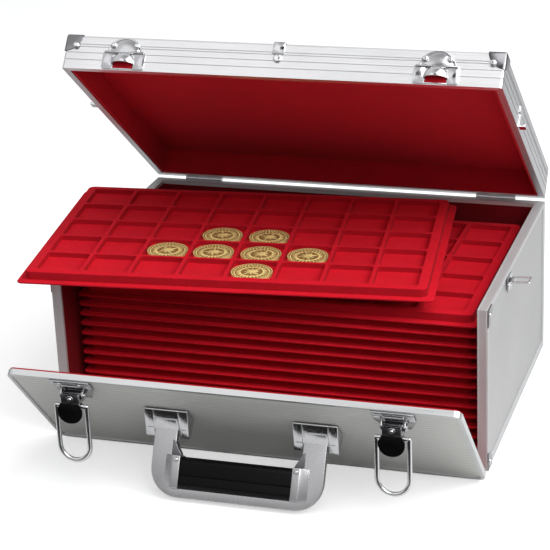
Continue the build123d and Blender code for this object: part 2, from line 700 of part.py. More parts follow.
def bail(middle):
    """Wire bail hanging straight down from the lever."""
    y, z = BAIL_AXIS
    half = BAIL_HALF_WIDTH
    path = FilletPolyline((-half, 0), (-half, -BAIL_REACH), (half, -BAIL_REACH), (half, 0), radius=BAIL_CORNER)
    path = Plane.XZ * path
    loop = sweep(Plane(origin=path @ 0, z_dir=path % 0) * Circle(BAIL_WIRE_RADIUS), path=path)
    for side in (-1, 1):
        loop += Pos(side * half, 0, 0) * Sphere(BAIL_WIRE_RADIUS)
        loop += rod_x(BAIL_WIRE_RADIUS, BAIL_STUB, side * (half - BAIL_STUB / 2), 0, 0)
    return Pos(middle, y, z) * loop


def handle_bracket(middle):
    """Wedge-shaped bracket with a slot for the handle arm and its pin."""
    base = FLAP_OUTER
    z0 = FOOT_HEIGHT + BRACKET_BOTTOM
    z1 = FOOT_HEIGHT + BRACKET_TOP
    outline = Polyline(
        (base, z0), (base - BRACKET_OUT, z0), (base - BRACKET_OUT, z0 + 2.5), (base - 1.2, z1), (base, z1),
        close=True,
    )
    wedge = extrude(Plane.YZ * make_face(outline), BRACKET_WIDTH / 2, both=True)
    wedge = Pos(middle, 0, 0) * wedge
    half = HANDLE_ARM_WIDTH / 2 + BRACKET_SLOT_GAP
    y, z = HANDLE_AXIS
    reach = HANDLE_ARM_THICK / 2 + BRACKET_SLOT_GAP + 0.6
    wedge -= block(
        middle - half, middle + half, base - BRACKET_OUT - 1, base - BRACKET_BASE, z0 - 1, z + reach
    )
    return wedge + rod_x(HANDLE_PIN_RADIUS, BRACKET_WIDTH - 4, middle, y, z)


def handle_frame():
    """Flat chrome handle frame, folded down against the flap."""
    y, z = HANDLE_AXIS
    half = HANDLE_OFFSET + HANDLE_ARM_WIDTH / 2
    inner = HANDLE_OFFSET - HANDLE_ARM_WIDTH / 2
    thick = HANDLE_ARM_THICK
    plate = block(MIDDLE - half, MIDDLE + half, y - thick / 2, y + thick / 2, z - HANDLE_REACH, z)
    plate = fillet(plate.edges().filter_by(Axis.Y).sort_by(Axis.Z)[0:2], HANDLE_CORNER)
    strip = z - HANDLE_REACH + HANDLE_STRIP
    plate -= block(MIDDLE - inner, MIDDLE + inner, y - thick, y + thick, strip, z + thick)
    for side in (-1, 1):
        plate += rod_x(thick / 2, HANDLE_ARM_WIDTH, MIDDLE + side * HANDLE_OFFSET, y, z)
    return plate - rod_x(HANDLE_PIN_RADIUS + RUNNING_GAP, 2 * WIDTH, MIDDLE, y, z)


def handle_grip():
    """Black grip between the handle arms, above the bottom strip."""
    y, z = HANDLE_AXIS
    inner = HANDLE_OFFSET - HANDLE_ARM_WIDTH / 2
    bottom = z - HANDLE_REACH + HANDLE_STRIP
    middle_z = bottom + GRIP_HEIGHT / 2
    section = Plane.YZ * RectangleRounded(GRIP_THICK, GRIP_HEIGHT, GRIP_ROUND)
    return Pos(MIDDLE, y, middle_z) * extrude(section, inner, both=True)


# Trays


def tray():
    """One pocket tray, with the middle of its underside at the origin."""
    flange = Pos(0, 0, FLANGE_THICK / 2) * Box(FLANGE_X, FLANGE_Y, FLANGE_THICK)
    flange = fillet(flange.edges().filter_by(Axis.Z), 4.0)
    raised = Pos(0, 0, TRAY_HEIGHT / 2) * Box(TRAY_X, TRAY_Y, TRAY_HEIGHT)
    raised = fillet(raised.edges().filter_by(Axis.Z), 5.0)
    pocket = extrude(Rectangle(POCKET, POCKET), TRAY_FLOOR - TRAY_HEIGHT, taper=POCKET_DRAFT)
    pockets = []
    for row in range(ROWS):
        for column in range(COLUMNS):
            pockets.append(Pos(*pocket_middle(row, column), TRAY_HEIGHT) * pocket)
    return (flange + raised) - pockets


def pocket_middle(row, column):
    """Middle of a pocket; row 0 is at the back and column 0 at the left."""
    x = (column - (COLUMNS - 1) / 2) * PITCH
    y = ((ROWS - 1) / 2 - row) * PITCH
    return x, y


def coin():
    """A coin with a raised rim on both faces, lying on the origin."""
    disc = Cylinder(COIN_RADIUS, COIN_THICK, align=(Align.CENTER, Align.CENTER, Align.MIN))
    field = Cylinder(COIN_RADIUS - COIN_RIM, COIN_RELIEF, align=(Align.CENTER, Align.CENTER, Align.MIN))
    return disc - field - Pos(0, 0, COIN_THICK - COIN_RELIEF) * field


def coins():
    """The coins in their pockets, in the frame of the tray."""
    piece = coin()
    placed = []
    for number, (row, column) in enumerate(COIN_POCKETS):
        x, y = pocket_middle(row, column)
        slip = 0.35 * ((number * 5) % 3 - 1)
        placed.append(Pos(x + slip, y - 0.2, TRAY_FLOOR) * piece)
    return grouped(placed)


def loose_place():
    """Where the loose tray lies: on the left rim, turned and slightly tilted."""
    return Pos(LOOSE_MIDDLE[0], LOOSE_MIDDLE[1], LOOSE_LEVEL) * Rot(0, LOOSE_TILT, 0) * Rot(0, 0, LOOSE_YAW)


# Assembly


def body_nodes():
    left_panel = side_panel()
    base = clasp_base()
    return {
        "case_frame": case_frame(),
        "panel_left": left_panel,
        "panel_right": mirrored(left_panel),
        "panel_back": back_panel(),
        "panel_bottom": bottom_panel(),
        "case_lining": case_lining(),
        "corner_caps": body_corner_caps(),
        "case_rivets": body_rivets(),
        "feet": feet(),
        "back_hinge_lower": back_hinge_leaf(True),
        "flap_hinge_lower": flap_hinge_leaf(True),
        "clasp_base_left": base,
        "clasp_base_right": mirrored(base),
    }


def lid_nodes():
    nodes = lid_sides()
    hook = clasp_hook()
    nodes.update({
        "lid_panel": lid_panel(),
        "lid_lining": lid_lining(),
        "lid_corner_caps": lid_corner_caps(),
        "catch_left": catch(MIDDLE - LATCH_OFFSET),
        "catch_right": catch(MIDDLE + LATCH_OFFSET),
        "lid_clip": lid_clip(),
        "lid_rivets": lid_rivets(),
        "back_hinge_upper": back_hinge_leaf(False),
        "clasp_hook_left": hook,
        "clasp_hook_right": mirrored(hook),
    })
    return {name: turned(shape, LID_AXIS, -LID_OPEN) for name, shape in nodes.items()}


def flap_nodes():
    nodes = {
        "flap_edge": flap_edge(),
        "flap_panel": flap_panel(),
        "flap_lining": flap_lining(),
        "flap_hinge_upper": flap_hinge_leaf(False),
        "handle_frame": turned(handle_frame(), HANDLE_AXIS, -HANDLE_OPEN),
        "handle_grip": turned(handle_grip(), HANDLE_AXIS, -HANDLE_OPEN),
    }
    for name, side in (("left", -1), ("right", 1)):
        middle = MIDDLE + side * LATCH_OFFSET
        nodes["latch_base_" + name] = latch_base(middle)
        nodes["lever_" + name] = turned(lever(middle), LATCH_AXIS, -LEVER_OPEN)
        nodes["tab_" + name] = turned(lever_tab(middle), LATCH_AXIS, -LEVER_OPEN)
        nodes["bail_" + name] = turned(bail(middle), LATCH_AXIS, -LEVER_OPEN)
        nodes["handle_bracket_" + name] = handle_bracket(MIDDLE + side * HANDLE_OFFSET)
    return {name: turned(shape, FLAP_AXIS, FLAP_OPEN) for name, shape in nodes.items()}


def tray_nodes():
    piece = tray()
    nodes = {}
    for number in range(TRAY_COUNT):
        level = STACK_BASE + number * TRAY_PITCH
        nodes[f"tray_{number + 1:02d}"] = Pos(MIDDLE, STACK_MIDDLE_Y, level) * piece
    nodes["tray_loose"] = loose_place() * piece
    nodes["coins"] = loose_place() * coins()
    return nodes


def clasp_nodes():
    link = clasp_link()
    link = link.rotate(Axis((-CLASP_OUT, 0, CLASP_LEVEL), (0, 1, 0)), CLASP_REST)
    return {"clasp_link_left": link, "clasp_link_right": mirrored(link)}


def all_nodes():
    """Every piece in the photographed pose, in the frame of the case."""
    nodes = {}
    for group in (body_nodes, lid_nodes, flap_nodes, tray_nodes, clasp_nodes):
        nodes.update(group())
    return nodes


def origin_shift(nodes):
    """Move that brings the middle of the bounding box's base to the origin."""
    boxes = [shape.bounding_box() for shape in nodes.values()]
    x0 = min(box.min.X for box in boxes)
    x1 = max(box.max.X for box in boxes)
    y0 = min(box.min.Y for box in boxes)
    y1 = max(box.max.Y for box in boxes)
    return -(x0 + x1) / 2, -(y0 + y1) / 2, 0.0


if __name__ == "__main__":
    os.makedirs("parts", exist_ok=True)
    pieces = all_nodes()
    shift = origin_shift(pieces)
    print("shift", shift)
    for node, shape in pieces.items():
        export_step(Pos(*shift) * shape, f"parts/{node}.step")
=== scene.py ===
"""Coin case: the aluminium case with its red pocket trays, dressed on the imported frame.

The sizes are those of the real case in millimetres. The case is drawn shut, with its
front left bottom corner at x = 0, y = 0 and the table at z = 0, and each assembly is
then turned to where it stands open.
"""

import logging
import math
from collections.abc import Iterable
from dataclasses import dataclass
from enum import Enum

import bmesh
import bpy
from mathutils import Matrix, Vector


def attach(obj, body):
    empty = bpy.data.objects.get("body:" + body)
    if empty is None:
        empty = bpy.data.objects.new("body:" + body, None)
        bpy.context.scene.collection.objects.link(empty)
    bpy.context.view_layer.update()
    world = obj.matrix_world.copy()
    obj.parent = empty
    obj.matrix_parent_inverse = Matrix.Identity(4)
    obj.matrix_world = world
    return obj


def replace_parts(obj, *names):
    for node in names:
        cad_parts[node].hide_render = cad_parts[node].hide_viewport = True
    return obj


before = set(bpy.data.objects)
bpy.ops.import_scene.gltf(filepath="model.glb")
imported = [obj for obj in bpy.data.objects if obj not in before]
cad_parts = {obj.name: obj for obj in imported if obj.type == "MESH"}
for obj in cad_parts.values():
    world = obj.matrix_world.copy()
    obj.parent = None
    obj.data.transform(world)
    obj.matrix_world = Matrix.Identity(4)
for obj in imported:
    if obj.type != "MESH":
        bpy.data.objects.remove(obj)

LOG = logging.getLogger("coin_case")

Span = tuple[float, float]
Point = tuple[float, float, float]
Object = bpy.types.Object
Node = bpy.types.Node
Socket = bpy.types.NodeSocket
Tree = bpy.types.NodeTree

MILLIMETRE = 0.001
X, Y, Z = range(3)
SIDES = (("left", -1), ("right", 1))
WIDTH = 330.0
MIDDLE = WIDTH / 2
LATCH_OFFSET = 117.3
# The wave node repeats 20 times per tau of its scale.
WAVE_RATE = math.tau / 20
# Faces that meet at more than this many radians form an edge worth rounding.
CREASE = 0.6


def linear(code: str) -> tuple[float, float, float, float]:
    """Turn an sRGB hex colour into linear red, green, blue and alpha.

    Args:
        code: The colour as "#RRGGBB".

    Returns:
        The linear colour with an alpha of 1.
    """
    shares = [int(code[i:i + 2], 16) / 255 for i in (1, 3, 5)]
    straight = [c / 12.92 if c <= 0.04045 else ((c + 0.055) / 1.055) ** 2.4 for c in shares]
    return (*straight, 1.0)


def bare_tree(holder: bpy.types.Material | bpy.types.World) -> Tree:
    """Give a material or world an empty node tree.

    Args:
        holder: The material or world.

    Returns:
        The empty tree.
    """
    holder.use_nodes = True
    holder.node_tree.nodes.clear()
    return holder.node_tree


def feed(tree: Tree, node: Node, inputs: dict) -> None:
    """Set a node's sockets, or link them to other nodes.

    Args:
        tree: The node tree.
        node: The node.
        inputs: Socket name or number to a value, or to another node's output socket.
    """
    for name, value in inputs.items():
        if isinstance(value, Socket):
            tree.links.new(value, node.inputs[name])
        else:
            node.inputs[name].default_value = value


def add_node(tree: Tree, kind: str, inputs: dict | None = None, **settings) -> Node:
    """Add one shader node with its settings, values and links.

    Args:
        tree: The node tree that gets the node.
        kind: The node's type name.
        inputs: Socket name or number to a value, or to another node's output socket.
        **settings: The node's own properties.

    Returns:
        The new node.
    """
    made = tree.nodes.new(kind)
    for name, value in settings.items():
        setattr(made, name, value)
    feed(tree, made, inputs or {})
    return made


class Skin:
    """One material's shader, while its finish works on it."""

    def __init__(self, material: bpy.types.Material, colour: str) -> None:
        """Start with a plain shader.

        Args:
            material: The material.
            colour: Its colour as "#RRGGBB".
        """
        self.tree = bare_tree(material)
        self.colour = linear(colour)
        self.shader = add_node(self.tree, "ShaderNodeBsdfPrincipled", {"Base Color": self.colour})
        add_node(self.tree, "ShaderNodeOutputMaterial", {"Surface": self.shader.outputs["BSDF"]})
        self.place = add_node(self.tree, "ShaderNodeTexCoord").outputs["Object"]

    def set(self, inputs: dict) -> None:
        """Set or link the shader's own sockets."""
        feed(self.tree, self.shader, inputs)

    def noise(self, size_mm: float, detail: float, place: Socket | None = None, **more) -> Socket:
        """Noise with features of about this size, with further sockets by name."""
        scale = 1.0 / (size_mm * MILLIMETRE)
        inputs = {"Vector": place or self.place, "Scale": scale, "Detail": detail, **more}
        return add_node(self.tree, "ShaderNodeTexNoise", inputs).outputs["Fac"]

    def between(self, low: float, high: float, pattern: Socket, start: float = 0.3,
                end: float = 0.7) -> Socket:
        """Stretch a pattern between two values.

        Args:
            low: The value at start.
            high: The value at end.
            pattern: The pattern.
            start: Where in the pattern the stretch begins.
            end: Where it ends.

        Returns:
            The stretched pattern.
        """
        inputs = {"Value": pattern, "From Min": start, "From Max": end, "To Min": low, "To Max": high}
        return add_node(self.tree, "ShaderNodeMapRange", inputs).outputs["Result"]

    def relief(self, height: Socket, strength: float, deep_mm: float) -> None:
        """Press a pattern into the surface, this deep."""
        inputs = {"Height": height, "Strength": strength, "Distance": deep_mm * MILLIMETRE}
        self.set({"Normal": add_node(self.tree, "ShaderNodeBump", inputs).outputs["Normal"]})

    def shade(self, *shares: Socket) -> None:
        """Darken or lighten the colour by patterns.

        Args:
            *shares: The patterns, multiplied with each other.
        """
        both = shares[0]
        for share in shares[1:]:
            both = add_node(self.tree, "ShaderNodeMath", {0: both, 1: share}, operation="MULTIPLY").outputs[0]
        inputs = {0: self.colour[:3], "Scale": both}
        shaded = add_node(self.tree, "ShaderNodeVectorMath", inputs, operation="SCALE")
        self.set({"Base Color": shaded.outputs["Vector"]})


class Along(Enum):
    """Direction in which a surface was brushed or drawn."""

    WIDTH = (0.02, 1.0, 1.0)
    DEPTH = (1.0, 0.02, 1.0)
    HEIGHT = (1.0, 1.0, 0.02)


@dataclass(frozen=True)
class Finish:
    """A finish: one material, a slot name and how its surface was made."""

    name: str
    slot: str
    colour: str

    def build(self) -> bpy.types.Material:
        """Make the material once, or find it again.

        Returns:
            The finished material.
        """
        made = bpy.data.materials.get(self.name)
        if not made:
            made = bpy.data.materials.new(self.name)
            self.detail(Skin(made, self.colour))
        return made

    def detail(self, skin: Skin) -> None:
        """Give the shader its pattern, roughness and relief."""
        raise NotImplementedError


@dataclass(frozen=True)
class BrushedMetal(Finish):
    """Anodised aluminium or plate, drawn or brushed along one direction."""

    along: Along = Along.WIDTH
    roughness: float = 0.32
    stroke_mm: float = 0.9
    depth_mm: float = 0.02
    metallic: float = 1.0
    cloud_mm: float = 55.0

    def detail(self, skin: Skin) -> None:
        """Long strokes in roughness and relief, and a faint cloudiness in the colour.

        Args:
            skin: The material's surface.
        """
        drawn = add_node(skin.tree, "ShaderNodeMapping", {"Vector": skin.place, "Scale": self.along.value})
        # Real strokes are 0.05 mm wide; they are drawn as wide as the render can show.
        strokes = skin.noise(self.stroke_mm, 3.0, drawn.outputs["Vector"])
        skin.shade(skin.between(0.94, 1.02, skin.noise(self.cloud_mm, 2.0)))
        rough = skin.between(self.roughness - 0.05, self.roughness + 0.07, strokes)
        skin.set({"Metallic": self.metallic, "Roughness": rough})
        skin.relief(strokes, 0.35, self.depth_mm)


@dataclass(frozen=True)
class Chrome(Finish):
    """Nickel-chrome plate, polished, with fine handling marks."""

    roughness: float = 0.09
    marks_mm: float = 2.2
    wave_mm: float = 9.0
    depth_mm: float = 0.1

    def detail(self, skin: Skin) -> None:
        """A mirror with faint waviness from polishing and duller patches from handling.

        Args:
            skin: The material's surface.
        """
        marks = skin.noise(self.marks_mm, 4.0, Roughness=0.65)
        rough = skin.between(self.roughness, self.roughness + 0.12, marks, 0.35, 0.75)
        skin.set({"Metallic": 1.0, "Roughness": rough})
        skin.relief(skin.noise(self.wave_mm, 1.0), 0.2, self.depth_mm)


@dataclass(frozen=True)
class RibbedBoard(Finish):
    """Aluminium-look laminate on board, embossed with fine ribs along the width."""

    rib_mm: float = 1.7
    tilt_deg: float = 0.0
    depth_mm: float = 0.05
    roughness: float = 0.42
    metallic: float = 0.55
    groove_shade: float = 0.13
    grain_mm: float = 0.8
    cloud_mm: float = 70.0

    def detail(self, skin: Skin) -> None:
        """Ribs in relief and in painted shade, darker in the grooves and lighter on the crests, over a fine
        grain and large faint clouds.

        Args:
            skin: The material's surface.
        """
        tilt = (math.radians(-self.tilt_deg), 0.0, 0.0)
        upright = add_node(skin.tree, "ShaderNodeMapping", {"Vector": skin.place, "Rotation": tilt})
        ribs = add_node(
            skin.tree, "ShaderNodeTexWave",
            {"Vector": upright.outputs["Vector"], "Scale": WAVE_RATE / (self.rib_mm * MILLIMETRE)},
            wave_type="BANDS", bands_direction="Z", wave_profile="SIN",
        ).outputs["Fac"]
        # Painted shade: the grooves between the ribs are darkened and the crests lightened, as light falls on
        # them.
        tone = skin.between(1.0 - self.groove_shade, 1.0 + self.groove_shade * 0.4, ribs, 0.0, 1.0)
        skin.shade(tone, skin.between(0.95, 1.03, skin.noise(self.cloud_mm, 2.0)))
        grain = skin.noise(self.grain_mm, 2.0)
        rough = skin.between(self.roughness - 0.04, self.roughness + 0.06, grain)
        skin.set({"Metallic": self.metallic, "Roughness": rough})
        skin.relief(ribs, 0.5, self.depth_mm)


@dataclass(frozen=True)
class Flock(Finish):
    """Electrostatic flock: short upright fibres on moulded or glued sheet."""

    painted_side_shade: float = 1.0
    sheen: str = "#FF5A64"
    fibre_mm: float = 0.9
    nap_mm: float = 16.0
    depth_mm: float = 0.25

    def detail(self, skin: Skin) -> None:
        """Speckle of fibre ends, stroked patches in the nap, painted shade on faces that look sideways, and a
        soft sheen at the edges.

        Args:
            skin: The material's surface.
        """
        skin.set({
            "Roughness": 0.92, "Specular IOR Level": 0.15, "Sheen Weight": 0.25, "Sheen Roughness": 0.45,
            "Sheen Tint": linear(self.sheen),
        })
        # Fibres are 0.3 mm apart; the speckle is drawn coarser so that it shows.
        fibres = skin.noise(self.fibre_mm, 3.0, Roughness=0.7)
        speck = skin.between(0.84, 1.12, fibres)
        stroke = skin.between(0.93, 1.06, skin.noise(self.nap_mm, 3.0, Distortion=0.4))
        stands = add_node(skin.tree, "ShaderNodeNewGeometry").outputs["Normal"]
        rise = add_node(skin.tree, "ShaderNodeSeparateXYZ", {0: stands}).outputs["Z"]
        # Painted shade: faces that look sideways, such as pocket walls and tray fronts, are darkened as if in
        # shadow.
        skin.shade(speck, stroke, skin.between(self.painted_side_shade, 1.0, rise, 0.25, 0.85))
        skin.relief(fibres, 0.45, self.depth_mm)


@dataclass(frozen=True)
class Moulding(Finish):
    """Moulded plastic or rubber with a fine grain from the mould."""

    roughness: float = 0.38
    grain_mm: float = 0.9
    depth_mm: float = 0.06
    rub_mm: float = 14.0

    def detail(self, skin: Skin) -> None:
        """Leather-fine grain and slightly rubbed, shinier places.

        Args:
            skin: The material's surface.
        """
        cells = {"Vector": skin.place, "Scale": 1.0 / (self.grain_mm * MILLIMETRE)}
        grain = add_node(skin.tree, "ShaderNodeTexVoronoi", cells).outputs["Distance"]
        rubbed = skin.noise(self.rub_mm, 3.0)
        rough = skin.between(self.roughness - 0.08, self.roughness + 0.08, rubbed)
        skin.set({"Specular IOR Level": 0.16, "Roughness": rough})
        skin.relief(grain, 0.3, self.depth_mm)


@dataclass(frozen=True)
class StruckMetal(Finish):
    """Struck coin metal: bright on the raised parts, dark in the recesses."""

    recess: str = "#7A4A16"
    metallic: float = 0.12
    grain_mm: float = 0.7
    depth_mm: float = 0.12

    def detail(self, skin: Skin) -> None:
        """Toned recesses from the "height" attribute, under a fine striking grain.

        Args:
            skin: The material's surface.
        """
        height = add_node(skin.tree, "ShaderNodeAttribute", attribute_name="height").outputs["Fac"]
        grain = skin.noise(self.grain_mm, 3.0, Roughness=0.6)
        both = {0: height, 1: skin.between(-0.05, 0.35, grain, 0.35, 0.65)}
        share = add_node(skin.tree, "ShaderNodeMath", both, operation="ADD", use_clamp=True).outputs[0]
        # The colour sockets of the mix node share their names with others, so they go by number.
        mix = {0: share, 6: linear(self.recess), 7: skin.colour}
        colour = add_node(skin.tree, "ShaderNodeMix", mix, data_type="RGBA").outputs[2]
        rough = skin.between(0.48, 0.24, share, 0.0, 1.0)
        skin.set({"Metallic": self.metallic, "Base Color": colour, "Roughness": rough})
        skin.relief(grain, 0.4, self.depth_mm)


# Natural anodised aluminium, drawn: pale silver with soft, stretched highlights. Each copy's silver is set
# lighter or darker as painted light and shade, to match how its faces are lit: the lid's front and back rails
# lightest, its side rails darker.
PROFILE_ACROSS = BrushedMetal("anodised_aluminium_across", "aluminium_profile", "#D9DADB")
LID_ACROSS = BrushedMetal("lid_extrusion_across", "lid_profile", "#EBEBED", Along.WIDTH, 0.36)
LID_DEEP = BrushedMetal("lid_extrusion_deep", "lid_profile", "#CFCFD1", Along.DEPTH, 0.34)
# The body's anodised posts: matt silver that keeps the red of the trays out of its gleam.
BODY_FRAME = BrushedMetal(
    "anodised_aluminium_body", "aluminium_profile", "#C9CACB", Along.HEIGHT, 0.46, metallic=0.4
)
# Ribbed aluminium-look laminate: even satin grey with fine lines, square to each board. Each board's grey is
# set lighter or darker as painted light and shade, to match how it is lit: the flap lightest, the body's
# panels darkest.
FLAP_BOARD = RibbedBoard("ribbed_laminate_flap", "panel_grey", "#D6D7D3", 4.2, 42.8, 0.08, 0.45)
BODY_BOARD = RibbedBoard("ribbed_laminate_body", "panel_grey", "#BABABA", 4.2, 0.0, 0.02, groove_shade=0.05)
BASE_BOARD = RibbedBoard("ribbed_laminate_base", "panel_grey", "#BBBBBB", 4.2, 90.0, 0.04)
LID_BOARD = RibbedBoard("ribbed_laminate_lid", "panel_grey", "#BEBEBE", 4.2, 51.3, 0.05)
# Flock glued in the lid and flap: the trays' red flock painted a deeper red as shade, matt with a soft bloom.
LINING_FLOCK = Flock("flocked_lining", "red_flock", "#AE1220")
# Flock in the body, where little light reaches it: the same red flock painted dark wine red as shade.
CASE_FLOCK = Flock("flocked_case_lining", "red_flock", "#6E0B14")
# Flocked tray sheet: clear red on top, with painted shade that darkens the walls and fronts.
TRAY_FLOCK = Flock("flocked_tray", "tray_red", "#DE1428", 0.42)
# The same sheet on the two upper trays, where open light fills the pocket walls: its red painted a little
# darker and its walls given less painted shade.
TOP_FLOCK = Flock("flocked_upper_tray", "tray_red", "#D41226", 0.58)
# Nickel-chrome plate on pressed steel: a dark and bright mirror.
CHROME = Chrome("nickel_chrome_plate", "chrome", "#D0D0D2")
# Satin chrome on zinc castings: soft, broad silver highlights.
SATIN_CHROME = Chrome("satin_chrome_casting", "chrome", "#C8C8CA", 0.24, 26.0)
# Bright drawn spring wire: a thin, almost white line.
WIRE = Chrome("bright_spring_wire", "chrome", "#E8E8EA", 0.16, 26.0)
# Polished steel rivets and pins: small bright points.
RIVET = Chrome("bright_rivet_steel", "steel_rivet", "#DCDCDE", 0.1)
# Nickel on the pressed catch plates: a mirror a little softer than chrome.
PRESSED = Chrome("nickel_plate_pressed", "chrome", "#C6C6C9", 0.11)
# Chrome painted dark grey on the corner plates, as painted dark reflection, and on the latch's and handle's
# shade plates, as painted shade: grey metal that sets off the silver.
DARKENED_CHROME = Chrome("chrome_painted_dark", "chrome", "#858588", 0.14)
# Moulded black plastic: soft dull highlights over a fine grain.
BLACK = Moulding("black_moulded_plastic", "black_plastic", "#050505", 0.4)
# Black rubber feet: flat and dull.
FOOT = Moulding("black_foot_rubber", "foot_rubber", "#1C1C1C", 0.8, 1.4)
# Struck gold-coloured alloy: pale gold with brown toning in the recesses.
GOLD = StruckMetal("struck_gold_alloy", "coin_gold", "#FFEA9C")


@dataclass(frozen=True)
class Pose:
    """Where each moving assembly stands open, as matrices from the shut case to the frame."""

    shift: Span = (-150.8745, -78.1029)
    lid_axis: Span = (232.6, 131.2)
    lid_open: float = 38.7
    flap_axis: Span = (-0.15, 3.4)
    flap_open: float = 42.8
    latch_axis: Span = (-10.7, 111.9)
    lever_open: float = 42.8
    handle_axis: Span = (-14.7, 75.0)
    handle_open: float = 70.5
    loose_place: Point = (121.0, 99.0, 128.912)
    loose_yaw: float = 7.6
    loose_tilt: float = 1.2

    def body(self) -> Matrix:
        """From millimetres on the shut case to metres in the frame."""
        return Matrix.Scale(MILLIMETRE, 4) @ Matrix.Translation((*self.shift, 0.0))

    def turned(self, axis: Span, degrees: float) -> Matrix:
        """A turn in millimetres about a line along x, positive from y towards z."""
        middle = Matrix.Translation((0.0, *axis))
        return middle @ Matrix.Rotation(math.radians(degrees), 4, "X") @ middle.inverted()

    def lid(self) -> Matrix:
        """The lid, raised."""
        return self.body() @ self.turned(self.lid_axis, -self.lid_open)

    def flap(self) -> Matrix:
        """The flap, let down."""
        return self.body() @ self.turned(self.flap_axis, self.flap_open)

    def lever(self) -> Matrix:
        """A latch lever, hanging open on the flap."""
        return self.flap() @ self.turned(self.latch_axis, -self.lever_open)

    def handle(self) -> Matrix:
        """The handle, swung out from the flap."""
        return self.flap() @ self.turned(self.handle_axis, -self.handle_open)

    def loose_tray(self) -> Matrix:
        """The tray left askew on top, from its own middle."""
        tilt = Matrix.Rotation(math.radians(self.loose_tilt), 4, "Y")
        yaw = Matrix.Rotation(math.radians(self.loose_yaw), 4, "Z")
        return self.body() @ Matrix.Translation(self.loose_place) @ tilt @ yaw


POSE = Pose()


class Facing(Enum):
    """Which way the top of a round piece looks: an axis and a turn about it in degrees."""

    FRONT = ("X", 90.0)
    LEFT = ("Y", -90.0)
    RIGHT = ("Y", 90.0)
    UP = ("Z", 0.0)

    def turn(self) -> Matrix:
        """The turn that brings up to this way."""
        axis, degrees = self.value
        return Matrix.Rotation(math.radians(degrees), 4, axis)


def stretch(middle: float, side: int, start: float, end: float) -> Span:
    """From one distance to another on one side of a middle, low end first."""
    near, far = sorted((middle + side * start, middle + side * end))
    return near, far


def fans(count: int) -> list[Matrix]:
    """A full turn about z in even steps."""
    return [Matrix.Rotation(math.tau * step / count, 4, "Z") for step in range(count)]


def moved(geom: Iterable) -> list[bmesh.types.BMVert]:
    """The vertices among what an operator made."""
    return [item for item in geom if isinstance(item, bmesh.types.BMVert)]


